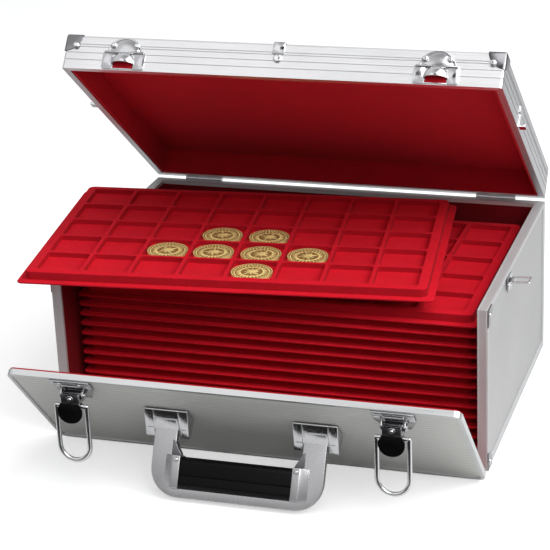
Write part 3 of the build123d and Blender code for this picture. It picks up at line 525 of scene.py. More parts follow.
class Form:
    """A mesh being shaped in millimetres with bmesh operators."""

    def __init__(self) -> None:
        """Start with nothing."""
        self.mesh = bmesh.new()

    def cone(self, radii: Span, length: float, place: Matrix, sides: int) -> list:
        """Add a round bar, or a cone, with its ends closed.

        Args:
            radii: Its radius at the near and the far end.
            length: Its length.
            place: Its middle and its turn.
            sides: The number of its sides.

        Returns:
            Its vertices.
        """
        return bmesh.ops.create_cone(
            self.mesh, cap_ends=True, segments=sides, radius1=radii[0], radius2=radii[1], depth=length,
            matrix=place,
        )["verts"]

    def drum(self, radius: float, length: float, place: Point, facing: Facing, sides: int = 32) -> None:
        """Add a round bar about a place."""
        self.cone((radius, radius), length, Matrix.Translation(place) @ facing.turn(), sides)

    def ball(self, place: Point, radii: Point, around: int = 48, rings: int = 24) -> None:
        """Add a ball or an egg about a place."""
        size = Matrix.Translation(place) @ Matrix.Diagonal((*radii, 1.0))
        bmesh.ops.create_uvsphere(self.mesh, u_segments=around, v_segments=rings, radius=1.0, matrix=size)

    def block(self, x: Span, y: Span, z: Span) -> list:
        """Add a box between two corners.

        Args:
            x: Its left and right.
            y: Its front and back.
            z: Its bottom and top.

        Returns:
            Its vertices.
        """
        middle = Matrix.Translation([sum(pair) / 2 for pair in (x, y, z)])
        size = Matrix.Diagonal((x[1] - x[0], y[1] - y[0], z[1] - z[0], 1.0))
        return bmesh.ops.create_cube(self.mesh, size=1.0, matrix=middle @ size)["verts"]

    def pull(self, faces: list, push: Iterable[float]) -> list:
        """Pull faces out into a solid.

        Args:
            faces: The faces.
            push: How far and which way.

        Returns:
            The vertices that moved.
        """
        far = moved(bmesh.ops.extrude_face_region(self.mesh, geom=faces, use_keep_orig=True)["geom"])
        bmesh.ops.translate(self.mesh, vec=Vector(push), verts=far)
        return far

    def plate(self, axis: int, level: float, outline: Iterable[Span], thick: float) -> list:
        """Add a plate that lies across one axis.

        Args:
            axis: The axis that it lies across: X, Y or Z.
            level: Where its first face lies on that axis.
            outline: The corners of that face, along the other two axes.
            thick: How far it is pulled out, and which way.

        Returns:
            The vertices of both faces.
        """
        corners = []
        for spot in outline:
            place = list(spot)
            place.insert(axis, level)
            corners.append(self.mesh.verts.new(place))
        push = [0.0, 0.0, 0.0]
        push[axis] = thick
        return corners + self.pull([self.mesh.faces.new(corners)], push)

    def quarter(self, corner: Point, start: Point, axis: Point, angle: float) -> None:
        """Add a quarter disc, swept from a line.

        Args:
            corner: Its corner.
            start: The other end of the line.
            axis: What it sweeps about.
            angle: How far, in radians.
        """
        ends = [self.mesh.verts.new(corner), self.mesh.verts.new(start)]
        bmesh.ops.spin(
            self.mesh, geom=[*ends, self.mesh.edges.new(ends)], cent=corner, axis=axis, angle=angle, steps=10,
            use_merge=False, use_duplicate=False,
        )
        bmesh.ops.remove_doubles(self.mesh, verts=self.mesh.verts, dist=0.01)

    def bevel(self, geom: Iterable, width: float, segments: int, affect: str = "EDGES") -> None:
        """Round edges, or corners where affect is "VERTICES"."""
        bmesh.ops.bevel(
            self.mesh, geom=list(geom), offset=width, offset_type="OFFSET", segments=segments, profile=0.5,
            affect=affect, material=-1, clamp_overlap=True,
        )

    def inset(self, face: bmesh.types.BMFace, *steps: Span) -> None:
        """Draw a face inwards in steps of a width and a rise."""
        for width, rise in steps:
            bmesh.ops.inset_individual(self.mesh, faces=[face], thickness=width, depth=rise)

    def cut(self, spot: Point, way: Point, clear: bool = True) -> None:
        """Cut along a plane, and clear what lies beyond it."""
        everything = self.mesh.verts[:] + self.mesh.edges[:] + self.mesh.faces[:]
        bmesh.ops.bisect_plane(self.mesh, geom=everything, plane_co=spot, plane_no=way, clear_outer=clear)

    def rim(self) -> list:
        """The open edges."""
        return [e for e in self.mesh.edges if e.is_boundary]

    def front(self) -> bmesh.types.BMFace:
        """The face that lies furthest to the front."""
        return min(self.mesh.faces, key=lambda f: f.calc_center_median().y)

    def right_normals(self) -> None:
        """Turn every face outwards."""
        bmesh.ops.recalc_face_normals(self.mesh, faces=self.mesh.faces)

    def thicken(self, thick: float) -> None:
        """Turn the skin into sheet."""
        bmesh.ops.solidify(self.mesh, geom=self.mesh.faces[:], thickness=thick)

    def dome(self, radius: float, height: float, place: Point, facing: Facing, rings: int = 3) -> None:
        """Add a rivet head: a flat drum whose top edge is rounded over.

        Args:
            radius: Its radius.
            height: How far it stands up.
            place: The middle of its foot.
            facing: Which way its top looks.
            rings: Segments of the rounding.
        """
        turn = facing.turn()
        seat = Matrix.Translation(place) @ turn @ Matrix.Translation((0.0, 0.0, height / 2))
        made = self.cone((radius, radius), height, seat, 24)
        up = (turn @ Vector((0.0, 0.0, 1.0))).normalized()
        top = [v for v in made if (v.co - Vector(place)).dot(up) > height * 0.6]
        edges = {e for v in top for e in v.link_edges if all(end in top for end in e.verts)}
        self.bevel(edges, height * 0.85, rings)

    def soften(self, width: float, segments: int = 2, angle: float = 32.0) -> None:
        """Round every edge sharper than an angle in degrees."""
        limit = math.radians(angle)
        self.bevel(
            [e for e in self.mesh.edges if e.is_manifold and e.calc_face_angle(0.0) > limit], width, segments
        )

    def finish(self, name: str, place: Matrix, body: str, finish: Finish, smooth: float = 38.0) -> Object:
        """Turn the mesh into an object that rides on a body.

        Args:
            name: The object's name.
            place: The matrix from this mesh to the frame.
            body: The body that it rides on.
            finish: Its finish.
            smooth: Edges up to this angle are shaded smooth, in degrees.

        Returns:
            The finished object.
        """
        self.mesh.transform(place)
        self.right_normals()
        for face in self.mesh.faces:
            face.smooth = True
        data = bpy.data.meshes.new(name)
        self.mesh.to_mesh(data)
        self.mesh.free()
        data.set_sharp_from_angle(angle=math.radians(smooth))
        data.materials.append(finish.build())
        piece = bpy.data.objects.new(name, data)
        bpy.context.scene.collection.objects.link(piece)
        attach(piece, body)
        LOG.info("%s made, on %s", name, body)
        return piece


@dataclass
class Trays:
    """The stack of flocked pocket trays and the one left askew on top."""

    columns: int = 8
    rows: int = 5
    pocket: float = 33.0
    rib: float = 2.8
    margin: float = 7.0
    flange: float = 5.5
    flange_thick: float = 1.2
    floor: float = 3.7
    height: float = 7.65
    pitch: float = 7.95
    count: int = 13
    stack: Point = (165.0, 120.8, 12.3)
    draft: float = 0.4
    soft: float = 1.1
    corner: float = 4.6
    well_corner: float = 2.0
    well_foot: float = 0.9
    well_lip: float = 0.55

    def spots(self) -> list[Span]:
        """Middles of all the pockets, from the back left one."""
        step = self.pocket + self.rib
        return [
            ((column - (self.columns - 1) / 2) * step, ((self.rows - 1) / 2 - row) * step)
            for row in range(self.rows)
            for column in range(self.columns)
        ]

    def half(self, count: int) -> float:
        """Half the raised body's width over a number of pockets."""
        return (count * (self.pocket + self.rib) - self.rib) / 2 + self.margin

    def lines(self, count: int) -> list[float]:
        """Where the grid's lines run: both edges of every rib, the margins and the rim.

        Args:
            count: The number of pockets in the row.

        Returns:
            The lines' places, from one end to the other.
        """
        step, half = self.pocket + self.rib, self.half(count)
        ribs = {(n - count / 2) * step + side * self.rib / 2 for n in range(1, count) for side in (-1, 1)}
        inside = sorted(ribs | {-(half - self.margin), half - self.margin})
        return [-half + self.soft, *inside, half - self.soft]

    def shape(self) -> Form:
        """One tray: flange, raised body and forty drafted pockets with soft edges.

        Returns:
            The tray about the middle of its underside.
        """
        form = Form()
        grid = (self.lines(self.columns), self.lines(self.rows))
        bmesh.ops.create_grid(
            form.mesh, x_segments=len(grid[X]) - 1, y_segments=len(grid[Y]) - 1, size=1.0,
            matrix=Matrix.Translation((0.0, 0.0, self.height)),
        )
        for vertex in form.mesh.verts:
            for axis, lines in enumerate(grid):
                vertex.co[axis] = lines[round((vertex.co[axis] + 1) / 2 * (len(lines) - 1))]
        form.bevel([v for v in form.mesh.verts if len(v.link_faces) == 1], self.corner, 5, "VERTICES")
        self._sink(form)
        self._skirt(form)
        return form

    def _sink(self, form: Form) -> None:
        """Push the pocket faces down to the floor, with draft and rounded corners.

        Args:
            form: The tray with its flat top.
        """
        wells = [face for face in form.mesh.faces if abs(face.calc_area() - self.pocket ** 2) < 1.0]
        for face in wells:
            form.inset(face, (0.02, 0.0), (self.draft, self.floor - self.height))
        upright = {
            e for face in wells for corner in face.verts for e in corner.link_edges
            if abs(e.verts[0].co.z - e.verts[1].co.z) > 1.0
        }
        form.bevel(upright, self.well_corner, 3)
        sharp = [e for e in form.mesh.edges if e.is_manifold and e.calc_face_angle(0.0) > CREASE]
        low = [e for e in sharp if all(v.co.z < self.floor + 0.01 for v in e.verts)]
        high = [e for e in sharp if all(v.co.z > self.height - 0.01 for v in e.verts)]
        form.bevel(low, self.well_foot, 2)
        form.bevel(high, self.well_lip, 2)

    def _skirt(self, form: Form) -> None:
        """Fold the outer edge down to the flange and close the underside.

        Args:
            form: The tray with its pockets.
        """
        halves = (self.half(self.columns), self.half(self.rows))
        wall = self.height - self.flange_thick - self.soft - 1.0
        folds = (
            (self.soft * 0.7, self.soft * 0.3), (self.soft * 0.3, self.soft * 0.7), (0.0, wall), (0.3, 0.7),
            (0.9, 0.3), (self.flange - 1.6, 0.0), (0.4, 0.4), (0.0, self.flange_thick - 0.4),
        )
        for outward, drop in folds:
            for vertex in moved(bmesh.ops.extrude_edge_only(form.mesh, edges=form.rim())["geom"]):
                for axis, half in enumerate(halves):
                    if abs(vertex.co[axis]) > half - self.margin + 0.5:
                        vertex.co[axis] += math.copysign(outward, vertex.co[axis])
                vertex.co.z -= drop
        bmesh.ops.holes_fill(form.mesh, edges=form.rim(), sides=0)

    def build(self) -> None:
        """Make the stacked trays and the loose one."""
        for number in range(self.count):
            name = f"tray_{number + 1:02d}"
            level = Matrix.Translation(Vector(self.stack) + Vector((0.0, 0.0, number * self.pitch)))
            # The top tray takes the upper copy of the flock, with its own painted shade.
            flock = TOP_FLOCK if number == self.count - 1 else TRAY_FLOCK
            piece = self.shape().finish(f"flocked_{name}", POSE.body() @ level, name, flock)
            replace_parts(piece, name)
        loose = self.shape().finish("flocked_tray_loose", POSE.loose_tray(), "tray_loose", TOP_FLOCK)
        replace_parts(loose, "tray_loose")


@dataclass
class Coins:
    """Seven coins in the pockets of the loose tray, with a plain star, dots and rays."""

    radius: float = 15.5
    thick: float = 2.4
    rim: float = 1.5
    relief: float = 0.35
    floor: float = 3.7
    boss: float = 7.6
    dots: int = 36
    rays: int = 24
    points: int = 8
    pockets: tuple[tuple[int, int], ...] = ((2, 3), (2, 4), (3, 2), (3, 3), (3, 4), (3, 5), (4, 4))
    turns: tuple[float, ...] = (12.0, -20.0, 35.0, 4.0, -33.0, 18.0, 50.0)

    def disc(self, form: Form) -> None:
        """Add one blank: reeded edge, raised rim and sunk fields.

        Args:
            form: The mesh that gets it.
        """
        half = Matrix.Translation((0.0, 0.0, self.thick / 2))
        edge = form.cone((self.radius, self.radius), self.thick, half, 120)
        for cap in [f for f in {f for v in edge for f in v.link_faces} if len(f.verts) > 4]:
            form.inset(cap, (self.rim, 0.0), (0.15, -self.relief))
        for index, vertex in enumerate(sorted(edge, key=lambda v: math.atan2(v.co.y, v.co.x))):
            if (index // 2) % 2:
                vertex.co.xy *= 0.985

    def design(self, form: Form) -> list:
        """Add the struck design: a ring of dots, rays and a star on a boss.

        Args:
            form: The mesh that gets it.

        Returns:
            Its vertices.
        """
        field, level = self.radius - self.rim, self.thick - self.relief
        lying = Facing.RIGHT.turn()
        made = form.cone((self.boss, 7.2), 0.3, Matrix.Translation((0.0, 0.0, level + 0.05)), 48)
        for turn in fans(self.dots):
            spot = turn @ Matrix.Translation((field - 0.9, 0.0, level + 0.17))
            made += form.cone((0.62, 0.4), 0.34, spot, 8)
        for turn in fans(self.rays):
            spot = turn @ Matrix.Translation((field - 4.0, 0.0, level)) @ lying
            made += form.cone((1.25, 0.3), 3.6, spot @ Matrix.Diagonal((0.32, 1.0, 1.0, 1.0)), 4)
        for number, turn in enumerate(fans(self.points)):
            reach = 5.6 if number % 2 else self.boss
            spot = turn @ Matrix.Translation((reach / 2, 0.0, level + 0.2)) @ lying
            made += form.cone((2.9, 0.5), reach, spot @ Matrix.Diagonal((0.3, 1.0, 1.0, 1.0)), 4)
        return made

    def coin(self, place: Matrix, form: Form, height: object) -> None:
        """Add one coin.

        Args:
            place: Where the middle of its underside goes.
            form: The mesh that gets it.
            height: The layer that tells raised metal from recesses.
        """
        before = set(form.mesh.verts)
        self.disc(form)
        field = self.radius - self.rim
        for vertex in set(form.mesh.verts) - before:
            vertex[height] = 0.0 if vertex.co.xy.length < field + 0.2 else 1.0
        raised = self.thick - self.relief + 0.25
        for vertex in self.design(form):
            vertex[height] = 1.0 if vertex.co.xy.length > self.boss + 0.1 or vertex.co.z > raised else 0.0
        bmesh.ops.transform(form.mesh, matrix=place, verts=[v for v in form.mesh.verts if v not in before])

    def build(self) -> None:
        """Make the seven coins as one piece on the loose tray."""
        form = Form()
        height = form.mesh.verts.layers.float.new("height")
        trays = Trays()
        spots = trays.spots()
        for number, ((row, column), turn) in enumerate(zip(self.pockets, self.turns)):
            x, y = spots[row * trays.columns + column]
            slip = 0.35 * ((number * 5) % 3 - 1)
            spin = Matrix.Rotation(math.radians(turn), 4, "Z")
            self.coin(Matrix.Translation((x + slip, y - 0.2, self.floor)) @ spin, form, height)
        piece = form.finish("struck_coins", POSE.loose_tray(), "tray_loose", GOLD, 30.0)
        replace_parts(piece, "coins")


class Shell:
    """The boards, profiles and linings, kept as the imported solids."""

    FINISHES = {
        BODY_FRAME: ("case_frame",),
        PROFILE_ACROSS: ("flap_edge", "flap_hinge_lower", "flap_hinge_upper"),
        LID_ACROSS: ("lid_frame_front", "lid_frame_back"),
        LID_DEEP: ("lid_frame_left", "lid_frame_right"),
        BODY_BOARD: ("panel_left", "panel_right", "panel_back"),
        BASE_BOARD: ("panel_bottom",),
        LID_BOARD: ("lid_panel",),
        FLAP_BOARD: ("flap_panel",),
        LINING_FLOCK: ("lid_lining", "flap_lining"),
        CASE_FLOCK: ("case_lining",),
        CHROME: (
            "back_hinge_lower", "back_hinge_upper", "clasp_base_left", "clasp_base_right", "clasp_hook_left",
            "clasp_hook_right",
        ),
        WIRE: ("clasp_link_left", "clasp_link_right"),
        FOOT: ("feet",),
    }

    def build(self) -> None:
        """Dress every solid that keeps its shape."""
        for finish, nodes in self.FINISHES.items():
            for node in nodes:
                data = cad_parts[node].data
                data.materials.clear()
                data.materials.append(finish.build())
                LOG.info("%s dressed in %s", node, finish.name)


@dataclass
class LidFittings:
    """Catches, clip, corner caps and rivets on the lid's extrusion."""

    bottom: float = 131.4
    top: float = 158.0
    half: float = 16.5
    shoulder: float = 14.0
    dome: float = 14.0
    dome_drop: float = 2.4
    nose_half: float = 9.0
    nose_out: float = 4.55
    nose_rise: float = 8.0
    nose_level: float = 137.0
    cap: float = 13.5
    cap_out: float = 0.75

    def plate(self, x: float) -> Form:
        """The pressed plate: wings, a step across and a dished dome.

        Args:
            x: Its middle.

        Returns:
            The plate on the closed lid.
        """
        form = Form()
        step = self.bottom + self.shoulder
        middle = step - self.dome_drop
        form.drum(self.dome, 0.9, (x, -0.45, middle), Facing.FRONT, 64)
        form.inset(form.front(), (1.1, 0.0), (0.5, -0.45))
        form.ball((x, -0.2, middle), (self.dome - 1.8, 1.7, self.dome - 1.8))
        form.cut((x, 0.0, step), (0.0, 0.0, -1.0))
        form.cut((x, 0.0, 0.0), (0.0, 1.0, 0.0))
        for side in (-1, 1):
            wing = form.block(stretch(x, side, 8.4, self.half), (-1.0, 0.0), (self.bottom + 0.6, step + 0.4))
            outer = {
                e for v in wing for e in v.link_edges
                if all(abs(end.co.x - x) > self.half - 0.1 for end in e.verts)
                and abs(e.verts[0].co.y - e.verts[1].co.y) > 0.5
            }
            form.bevel(outer, 1.8, 4)
        form.drum(1.1, 2 * self.half - 2.4, (x, -0.75, step - 0.2), Facing.RIGHT, 20)
        form.block((x - 8.6, x + 8.6), (-0.6, 0.0), (self.bottom + 0.6, self.bottom + 1.6))
        form.soften(0.32)
        return form

    def nose(self, x: float) -> Form:
        """The hood that the wire bail is hooked over, hollow below.

        Args:
            x: Its middle.

        Returns:
            The hood on the closed lid.
        """
        form = Form()
        form.ball((x, -0.9, self.nose_level), (self.nose_half, self.nose_out, self.nose_rise))
        form.cut((x, -0.3, 0.0), (0.0, 1.0, 0.0))
        form.cut((x, -5.4, self.nose_level - 0.4), (0.0, -0.2, -1.0))
        form.right_normals()
        form.thicken(0.8)
        form.soften(0.25, 2, 50.0)
        return form

    def red_reflection(self, x: float) -> Form:
        """Painted reflection: a red strip in the opening under the hood, standing in for the red trays
        mirrored in the hood's underside.

        Args:
            x: Its middle.

        Returns:
            The strip on the closed lid.
        """
        form = Form()
        low, high = self.bottom + 1.2, self.nose_level + 1.5
        form.plate(Y, -0.25, ((x - 8.0, low), (x + 8.0, low), (x + 7.2, high), (x - 7.2, high)), -0.3)
        form.soften(0.1, 1)
        return form

    def rivets(self) -> None:
        """All the rivet heads of the lid: catches, corner caps and clip."""
        form = Form()
        for side in (-1, 1):
            for pair in (-1, 1):
                spot = (MIDDLE + side * LATCH_OFFSET + pair * 9.0, -0.9, self.bottom + 19.0)
                form.dome(2.5, 2.0, spot, Facing.FRONT, 5)
            form.dome(2.6, 1.9, (MIDDLE + side * (MIDDLE - 8.5), -0.7, self.top - 8.5), Facing.FRONT, 5)
        form.dome(3.4, 1.6, (MIDDLE, 0.0, self.top - 11.9), Facing.FRONT, 4)
        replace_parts(form.finish("lid_rivet_heads", POSE.lid(), "lid", RIVET), "lid_rivets")

    def clip(self) -> None:
        """The small clip that folds over the top edge in the middle."""
        form = Form()
        across = (MIDDLE - 4.5, MIDDLE + 4.5)
        form.block(across, (-1.0, 0.0), (self.top - 8.5, self.top + 0.8))
        form.block(across, (-1.0, 5.0), (self.top + 0.05, self.top + 0.8))
        form.soften(0.35)
        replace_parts(form.finish("lid_middle_clip", POSE.lid(), "lid", CHROME), "lid_clip")

    def caps(self) -> None:
        """Both corner caps: quarter discs on three faces, pressed from one sheet."""
        form = Form()
        corner, size, square = (0.0, 0.0, 0.0), self.cap, math.pi / 2
        form.quarter(corner, (size, 0.0, 0.0), (0.0, 0.0, 1.0), square)
        form.quarter(corner, (size, 0.0, 0.0), (0.0, 1.0, 0.0), square)
        form.quarter(corner, (0.0, size, 0.0), (1.0, 0.0, 0.0), -square)
        form.right_normals()
        form.bevel([e for e in form.mesh.edges if e.is_manifold and e.calc_face_angle(0.0) > 1.0], 2.0, 3)
        form.right_normals()
        inside = Vector((size, size, -size))
        if sum(f.normal.dot(f.calc_center_median() - inside) for f in form.mesh.faces) < 0:
            bmesh.ops.reverse_faces(form.mesh, faces=form.mesh.faces)
        form.thicken(0.7)
        shift = (-self.cap_out, -self.cap_out, self.top + self.cap_out)
        bmesh.ops.translate(form.mesh, vec=shift, verts=form.mesh.verts)
        twin = moved(bmesh.ops.duplicate(form.mesh, geom=form.mesh.faces[:])["geom"])
        mirror = Matrix.Translation((WIDTH, 0.0, 0.0)) @ Matrix.Diagonal((-1.0, 1.0, 1.0, 1.0))
        bmesh.ops.transform(form.mesh, verts=twin, matrix=mirror)
        # The caps get the chrome painted dark grey: a painted dark reflection.
        piece = form.finish("lid_pressed_caps", POSE.lid(), "lid", DARKENED_CHROME, 50.0)
        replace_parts(piece, "lid_corner_caps")

    def build(self) -> None:
        """Make the fittings of the lid."""
        place = POSE.lid()
        for name, side in SIDES:
            x = MIDDLE + side * LATCH_OFFSET
            plate = self.plate(x).finish(f"catch_plate_{name}", place, "lid", PRESSED)
            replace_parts(plate, f"catch_{name}")
            self.nose(x).finish(f"catch_hood_{name}", place, "lid", CHROME)
            # A red strip painted where the hood mirrors the red trays.
            self.red_reflection(x).finish(f"catch_backing_{name}", place, "lid", LINING_FLOCK)
        self.rivets()
        self.clip()
        self.caps()


@dataclass
class BodyFittings:
    """Corner plates, rivets and drawn beads on the body's posts and rims."""

    rim: float = 131.0
    foot: float = 6.0
    size: float = 13.5
    thick: float = 0.8

    def caps(self) -> None:
        """Quarter-round plates at the top and bottom of both front posts."""
        form = Form()
        for x, outward in ((0.0, -1), (WIDTH, 1)):
            for z, upward in ((self.rim, -1), (self.foot, 1)):
                tip = (x, 0.0, z + upward * self.size)
                form.quarter((x, 0.0, z), tip, (1.0, 0.0, 0.0), -upward * math.pi / 2)
                fresh = [
                    f for f in form.mesh.faces
                    if abs(f.calc_center_median().z - z) < self.size
                    and all(abs(v.co.x - x) < 0.01 for v in f.verts)
                ]
                form.pull(fresh, (outward * self.thick, 0.0, 0.0))
        form.right_normals()
        form.soften(0.3, 2, 60.0)
        # The plates get the chrome painted dark grey: a painted dark reflection.
        piece = form.finish("post_corner_plates", POSE.body(), "case", DARKENED_CHROME)
        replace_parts(piece, "corner_caps")

    def rivets(self) -> None:
        """Rivet heads on the corner plates and the side clasps' plates."""
        form = Form()
        for x, facing in ((-0.7, Facing.LEFT), (WIDTH + 0.7, Facing.RIGHT)):
            for z in (self.rim - 5.5, self.foot + 5.5):
                form.dome(1.9, 1.0, (x, 5.5, z), facing)
            for y in (73.2, 82.8):
                form.dome(1.3, 0.8, (x + math.copysign(0.25, x), y, 121.0), facing)
        piece = form.finish("body_rivet_heads", POSE.body(), "case", RIVET)
        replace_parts(piece, "case_rivets")

    def beads(self) -> None:
        """Drawn beads along both edges of the posts and of the side rims."""
        form = Form()
        for x, inward in ((0.0, 1), (WIDTH, -1)):
            for across in (0.8, 6.4):
                bead = stretch(x, inward, across, across + 1.0)
                form.block(bead, (-0.2, 0.1), (self.foot + 0.5, self.rim - 0.3))
                form.block(bead, (0.3, 228.0), (self.rim - 0.1, self.rim + 0.2))
        form.soften(0.12, 1)
        form.finish("body_profile_beads", POSE.body(), "case", BODY_FRAME)

    def build(self) -> None:
        """Make the fittings of the body."""
        self.caps()
        self.rivets()
        self.beads()


@dataclass
class Latch:
    """One toggle latch on the flap: base plate, lever, finger tab and wire bail."""

    side: str
    middle: float
    face: float = -5.7
    pin: Span = (-10.7, 111.9)
    wire: Span = (-14.2, 104.9)
    top: float = 125.4
    bottom: float = 98.4
    half: float = 15.0
    foot: float = 9.5
    reach: float = 42.79
    lever_out: float = 3.0
    bail_half: float = 11.5
    bail_wire: float = 1.75
    tab_wide: float = 9.3
    tab_neck: float = 6.9
    tab_thick: float = 1.9

    def base(self) -> None:
        """Base plate with slots, folded ears, raised ribs and the pin."""
        form = Form()
        x, y, half, foot = self.middle, self.face, self.half, self.foot
        shoulder, shelf = self.top - 13.0, self.top - 4.2
        outline = ((-foot, self.bottom), (foot, self.bottom), (half, shoulder), (half, shelf), (-half, shelf),
                   (-half, shoulder))
        form.plate(Y, y, ((x + across, level) for across, level in outline), -1.0)
        for low, high in ((-15.0, -12.5), (-2.5, 2.5), (12.5, 15.0)):
            form.block((x + low, x + high), (y - 1.0, y), (self.top - 4.3, self.top - 2.1))
        form.block((x - half, x + half), (y - 1.0, y), (self.top - 2.2, self.top))
        for side in (-1, 1):
            ear = stretch(x, side, 7.6, 8.8)
            form.block(ear, (self.pin[0], y - 0.5), (self.pin[1] - 3.6, self.pin[1] + 3.6))
            form.drum(3.6, 1.2, (sum(ear) / 2, *self.pin), Facing.RIGHT)
            rib = stretch(x, side, 9.2, 14.2)
            form.block(rib, (y - 1.5, y - 0.5), (self.pin[1] - 1.0, self.pin[1] + 6.4))
        form.soften(0.25)
        piece = form.finish(f"latch_plate_{self.side}", POSE.flap(), "flap", CHROME)
        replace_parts(piece, f"latch_base_{self.side}")

    def stirrup(self) -> None:
        """The bright wire stirrup that hangs below the slots."""
        form = Form()
        x, y = self.middle, self.face - 1.9
        for side in (-1, 1):
            form.drum(0.75, 3.6, (x + side * 7.4, y, self.top - 3.9), Facing.UP, 16)
        form.drum(0.75, 15.6, (x, y, self.top - 5.7), Facing.RIGHT, 16)
        form.soften(0.2, 1, 60.0)
        form.finish(f"latch_stirrup_{self.side}", POSE.flap(), "flap", RIVET)

    def shade_plates(self) -> None:
        """Painted shade: dark grey plates set behind the slots and in the gap between the ears, where there
        is only shadow.
        """
        form = Form()
        x, y = self.middle, self.face
        form.block((x - 12.4, x + 12.4), (y - 0.35, y - 0.02), (self.top - 4.2, self.top - 2.2))
        form.block((x - 6.6, x + 6.6), (y - 1.5, y - 1.02), (self.pin[1] - 1.0, self.pin[1] + 4.4))
        form.soften(0.08, 1)
        form.finish(f"latch_painted_shade_{self.side}", POSE.flap(), "flap", DARKENED_CHROME)

    def bail(self) -> None:
        """The wire bail: two legs, a round foot and hooked ends in the lever."""
        form = Form()
        x, (y, z), half, wire = self.middle, self.wire, self.bail_half, self.bail_wire
        low = z - self.reach + half
        start = Matrix.Translation((x - half, y, low))
        ring = bmesh.ops.create_circle(form.mesh, segments=16, radius=wire, matrix=start)["verts"]
        edges = list({e for v in ring for e in v.link_edges})
        swept = bmesh.ops.spin(
            form.mesh, geom=ring + edges, cent=(x, y, low), axis=(0.0, -1.0, 0.0), angle=math.pi, steps=24,
            use_merge=False, use_duplicate=False,
        )["geom_last"]
        for loop in (edges, [e for e in swept if isinstance(e, bmesh.types.BMEdge)]):
            top = moved(bmesh.ops.extrude_edge_only(form.mesh, edges=loop)["geom"])
            bmesh.ops.translate(form.mesh, vec=(0.0, 0.0, z - low), verts=top)
        bmesh.ops.holes_fill(form.mesh, edges=form.rim(), sides=0)
        for side in (-1, 1):
            form.drum(wire, 5.2, (x + side * (half - 2.2), y, z), Facing.RIGHT, 16)
            form.ball((x + side * half, y, z), (wire, wire, wire), 16, 10)
        name = f"bail_{self.side}"
        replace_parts(form.finish(f"wire_{name}", POSE.lever(), name, WIRE, 60.0), name)

    def pin_piece(self) -> None:
        """The pin with its two domed heads."""
        form = Form()
        form.drum(1.5, 17.6, (self.middle, *self.pin), Facing.RIGHT, 24)
        for side, facing in ((-1, Facing.LEFT), (1, Facing.RIGHT)):
            form.dome(2.3, 0.9, (self.middle + side * 8.8, *self.pin), facing)
        form.soften(0.15, 1, 60.0)
        form.finish(f"latch_pin_{self.side}", POSE.flap(), "flap", RIVET)

    def lever(self) -> None:
        """Pressed lever: front plate, two cheeks and rolled knuckles."""
        form = Form()
        x, (deep, level) = self.middle, self.pin
        out, back = self.wire[0] - self.lever_out, deep + 2.6
        low, high = level - 14.0, level + 3.0
        form.plate(Y, out, ((x - 6.9, low), (x + 6.9, low), (x + 6.3, high), (x - 6.3, high)), 1.2)
        form.block((x - 6.3, x + 6.3), (out, deep + 2.0), (level + 1.6, high))
        cheek = (
            (out + 0.4, level + 2.4), (back, level + 1.6), (back, level - 1.6),
            (self.wire[0] + 2.4, self.wire[1] - 2.0), (out + 0.4, self.wire[1] - 3.2),
        )
        for side in (-1, 1):
            near, far = stretch(x, side, 5.6, 6.9)
            form.plate(X, near, cheek, far - near)
            for knuckle in (self.pin, self.wire):
                form.drum(3.0, 1.3, ((near + far) / 2, *knuckle), Facing.RIGHT)
        form.soften(0.3)
        name = f"lever_{self.side}"
        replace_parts(form.finish(f"latch_{name}", POSE.lever(), name, CHROME), name)

    def lever_rivet(self) -> None:
        """The rivet head and raised seat on the lever's front."""
        form = Form()
        out, level = self.wire[0] - self.lever_out, self.pin[1] - 0.9
        form.dome(2.7, 0.35, (self.middle, out, level), Facing.FRONT)
        form.dome(1.5, 1.0, (self.middle, out - 0.2, level), Facing.FRONT)
        form.finish(f"latch_rivet_{self.side}", POSE.lever(), f"lever_{self.side}", RIVET)

    def tab(self) -> None:
        """Black finger tab with a rounded foot, a dished face and a rib at the top."""
        form = Form()
        x, out, top = self.middle, self.wire[0] - self.lever_out, self.pin[1] - 3.6
        wide, neck, hip, low = self.tab_wide, self.tab_neck, top - 4.5, top - 15.4
        outline = ((-neck, top), (neck, top), (wide, hip), (wide, low), (-wide, low), (-wide, hip))
        slab = form.plate(Y, out, ((x + across, level) for across, level in outline), -self.tab_thick)
        feet = {
            e for v in slab for e in v.link_edges
            if all(end.co.z < low + 0.4 for end in e.verts) and abs(e.verts[0].co.x - e.verts[1].co.x) < 0.01
        }
        form.bevel(feet, 8.6, 10)
        form.right_normals()
        form.inset(form.front(), (1.3, 0.0), (1.6, -0.5))
        form.block((x - 6.4, x + 6.4), (out - 2.15, out - 0.6), (top - 1.9, top - 0.4))
        form.soften(0.45, 2, 24.0)
        piece = form.finish(f"finger_tab_{self.side}", POSE.lever(), f"lever_{self.side}", BLACK)
        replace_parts(piece, f"tab_{self.side}")

    def build(self) -> None:
        """Make the latch on the flap, its lever, its tab and its bail."""
        self.base()
        self.pin_piece()
        self.lever()
        self.lever_rivet()
        self.stirrup()
        self.shade_plates()
        self.bail()
        self.tab()


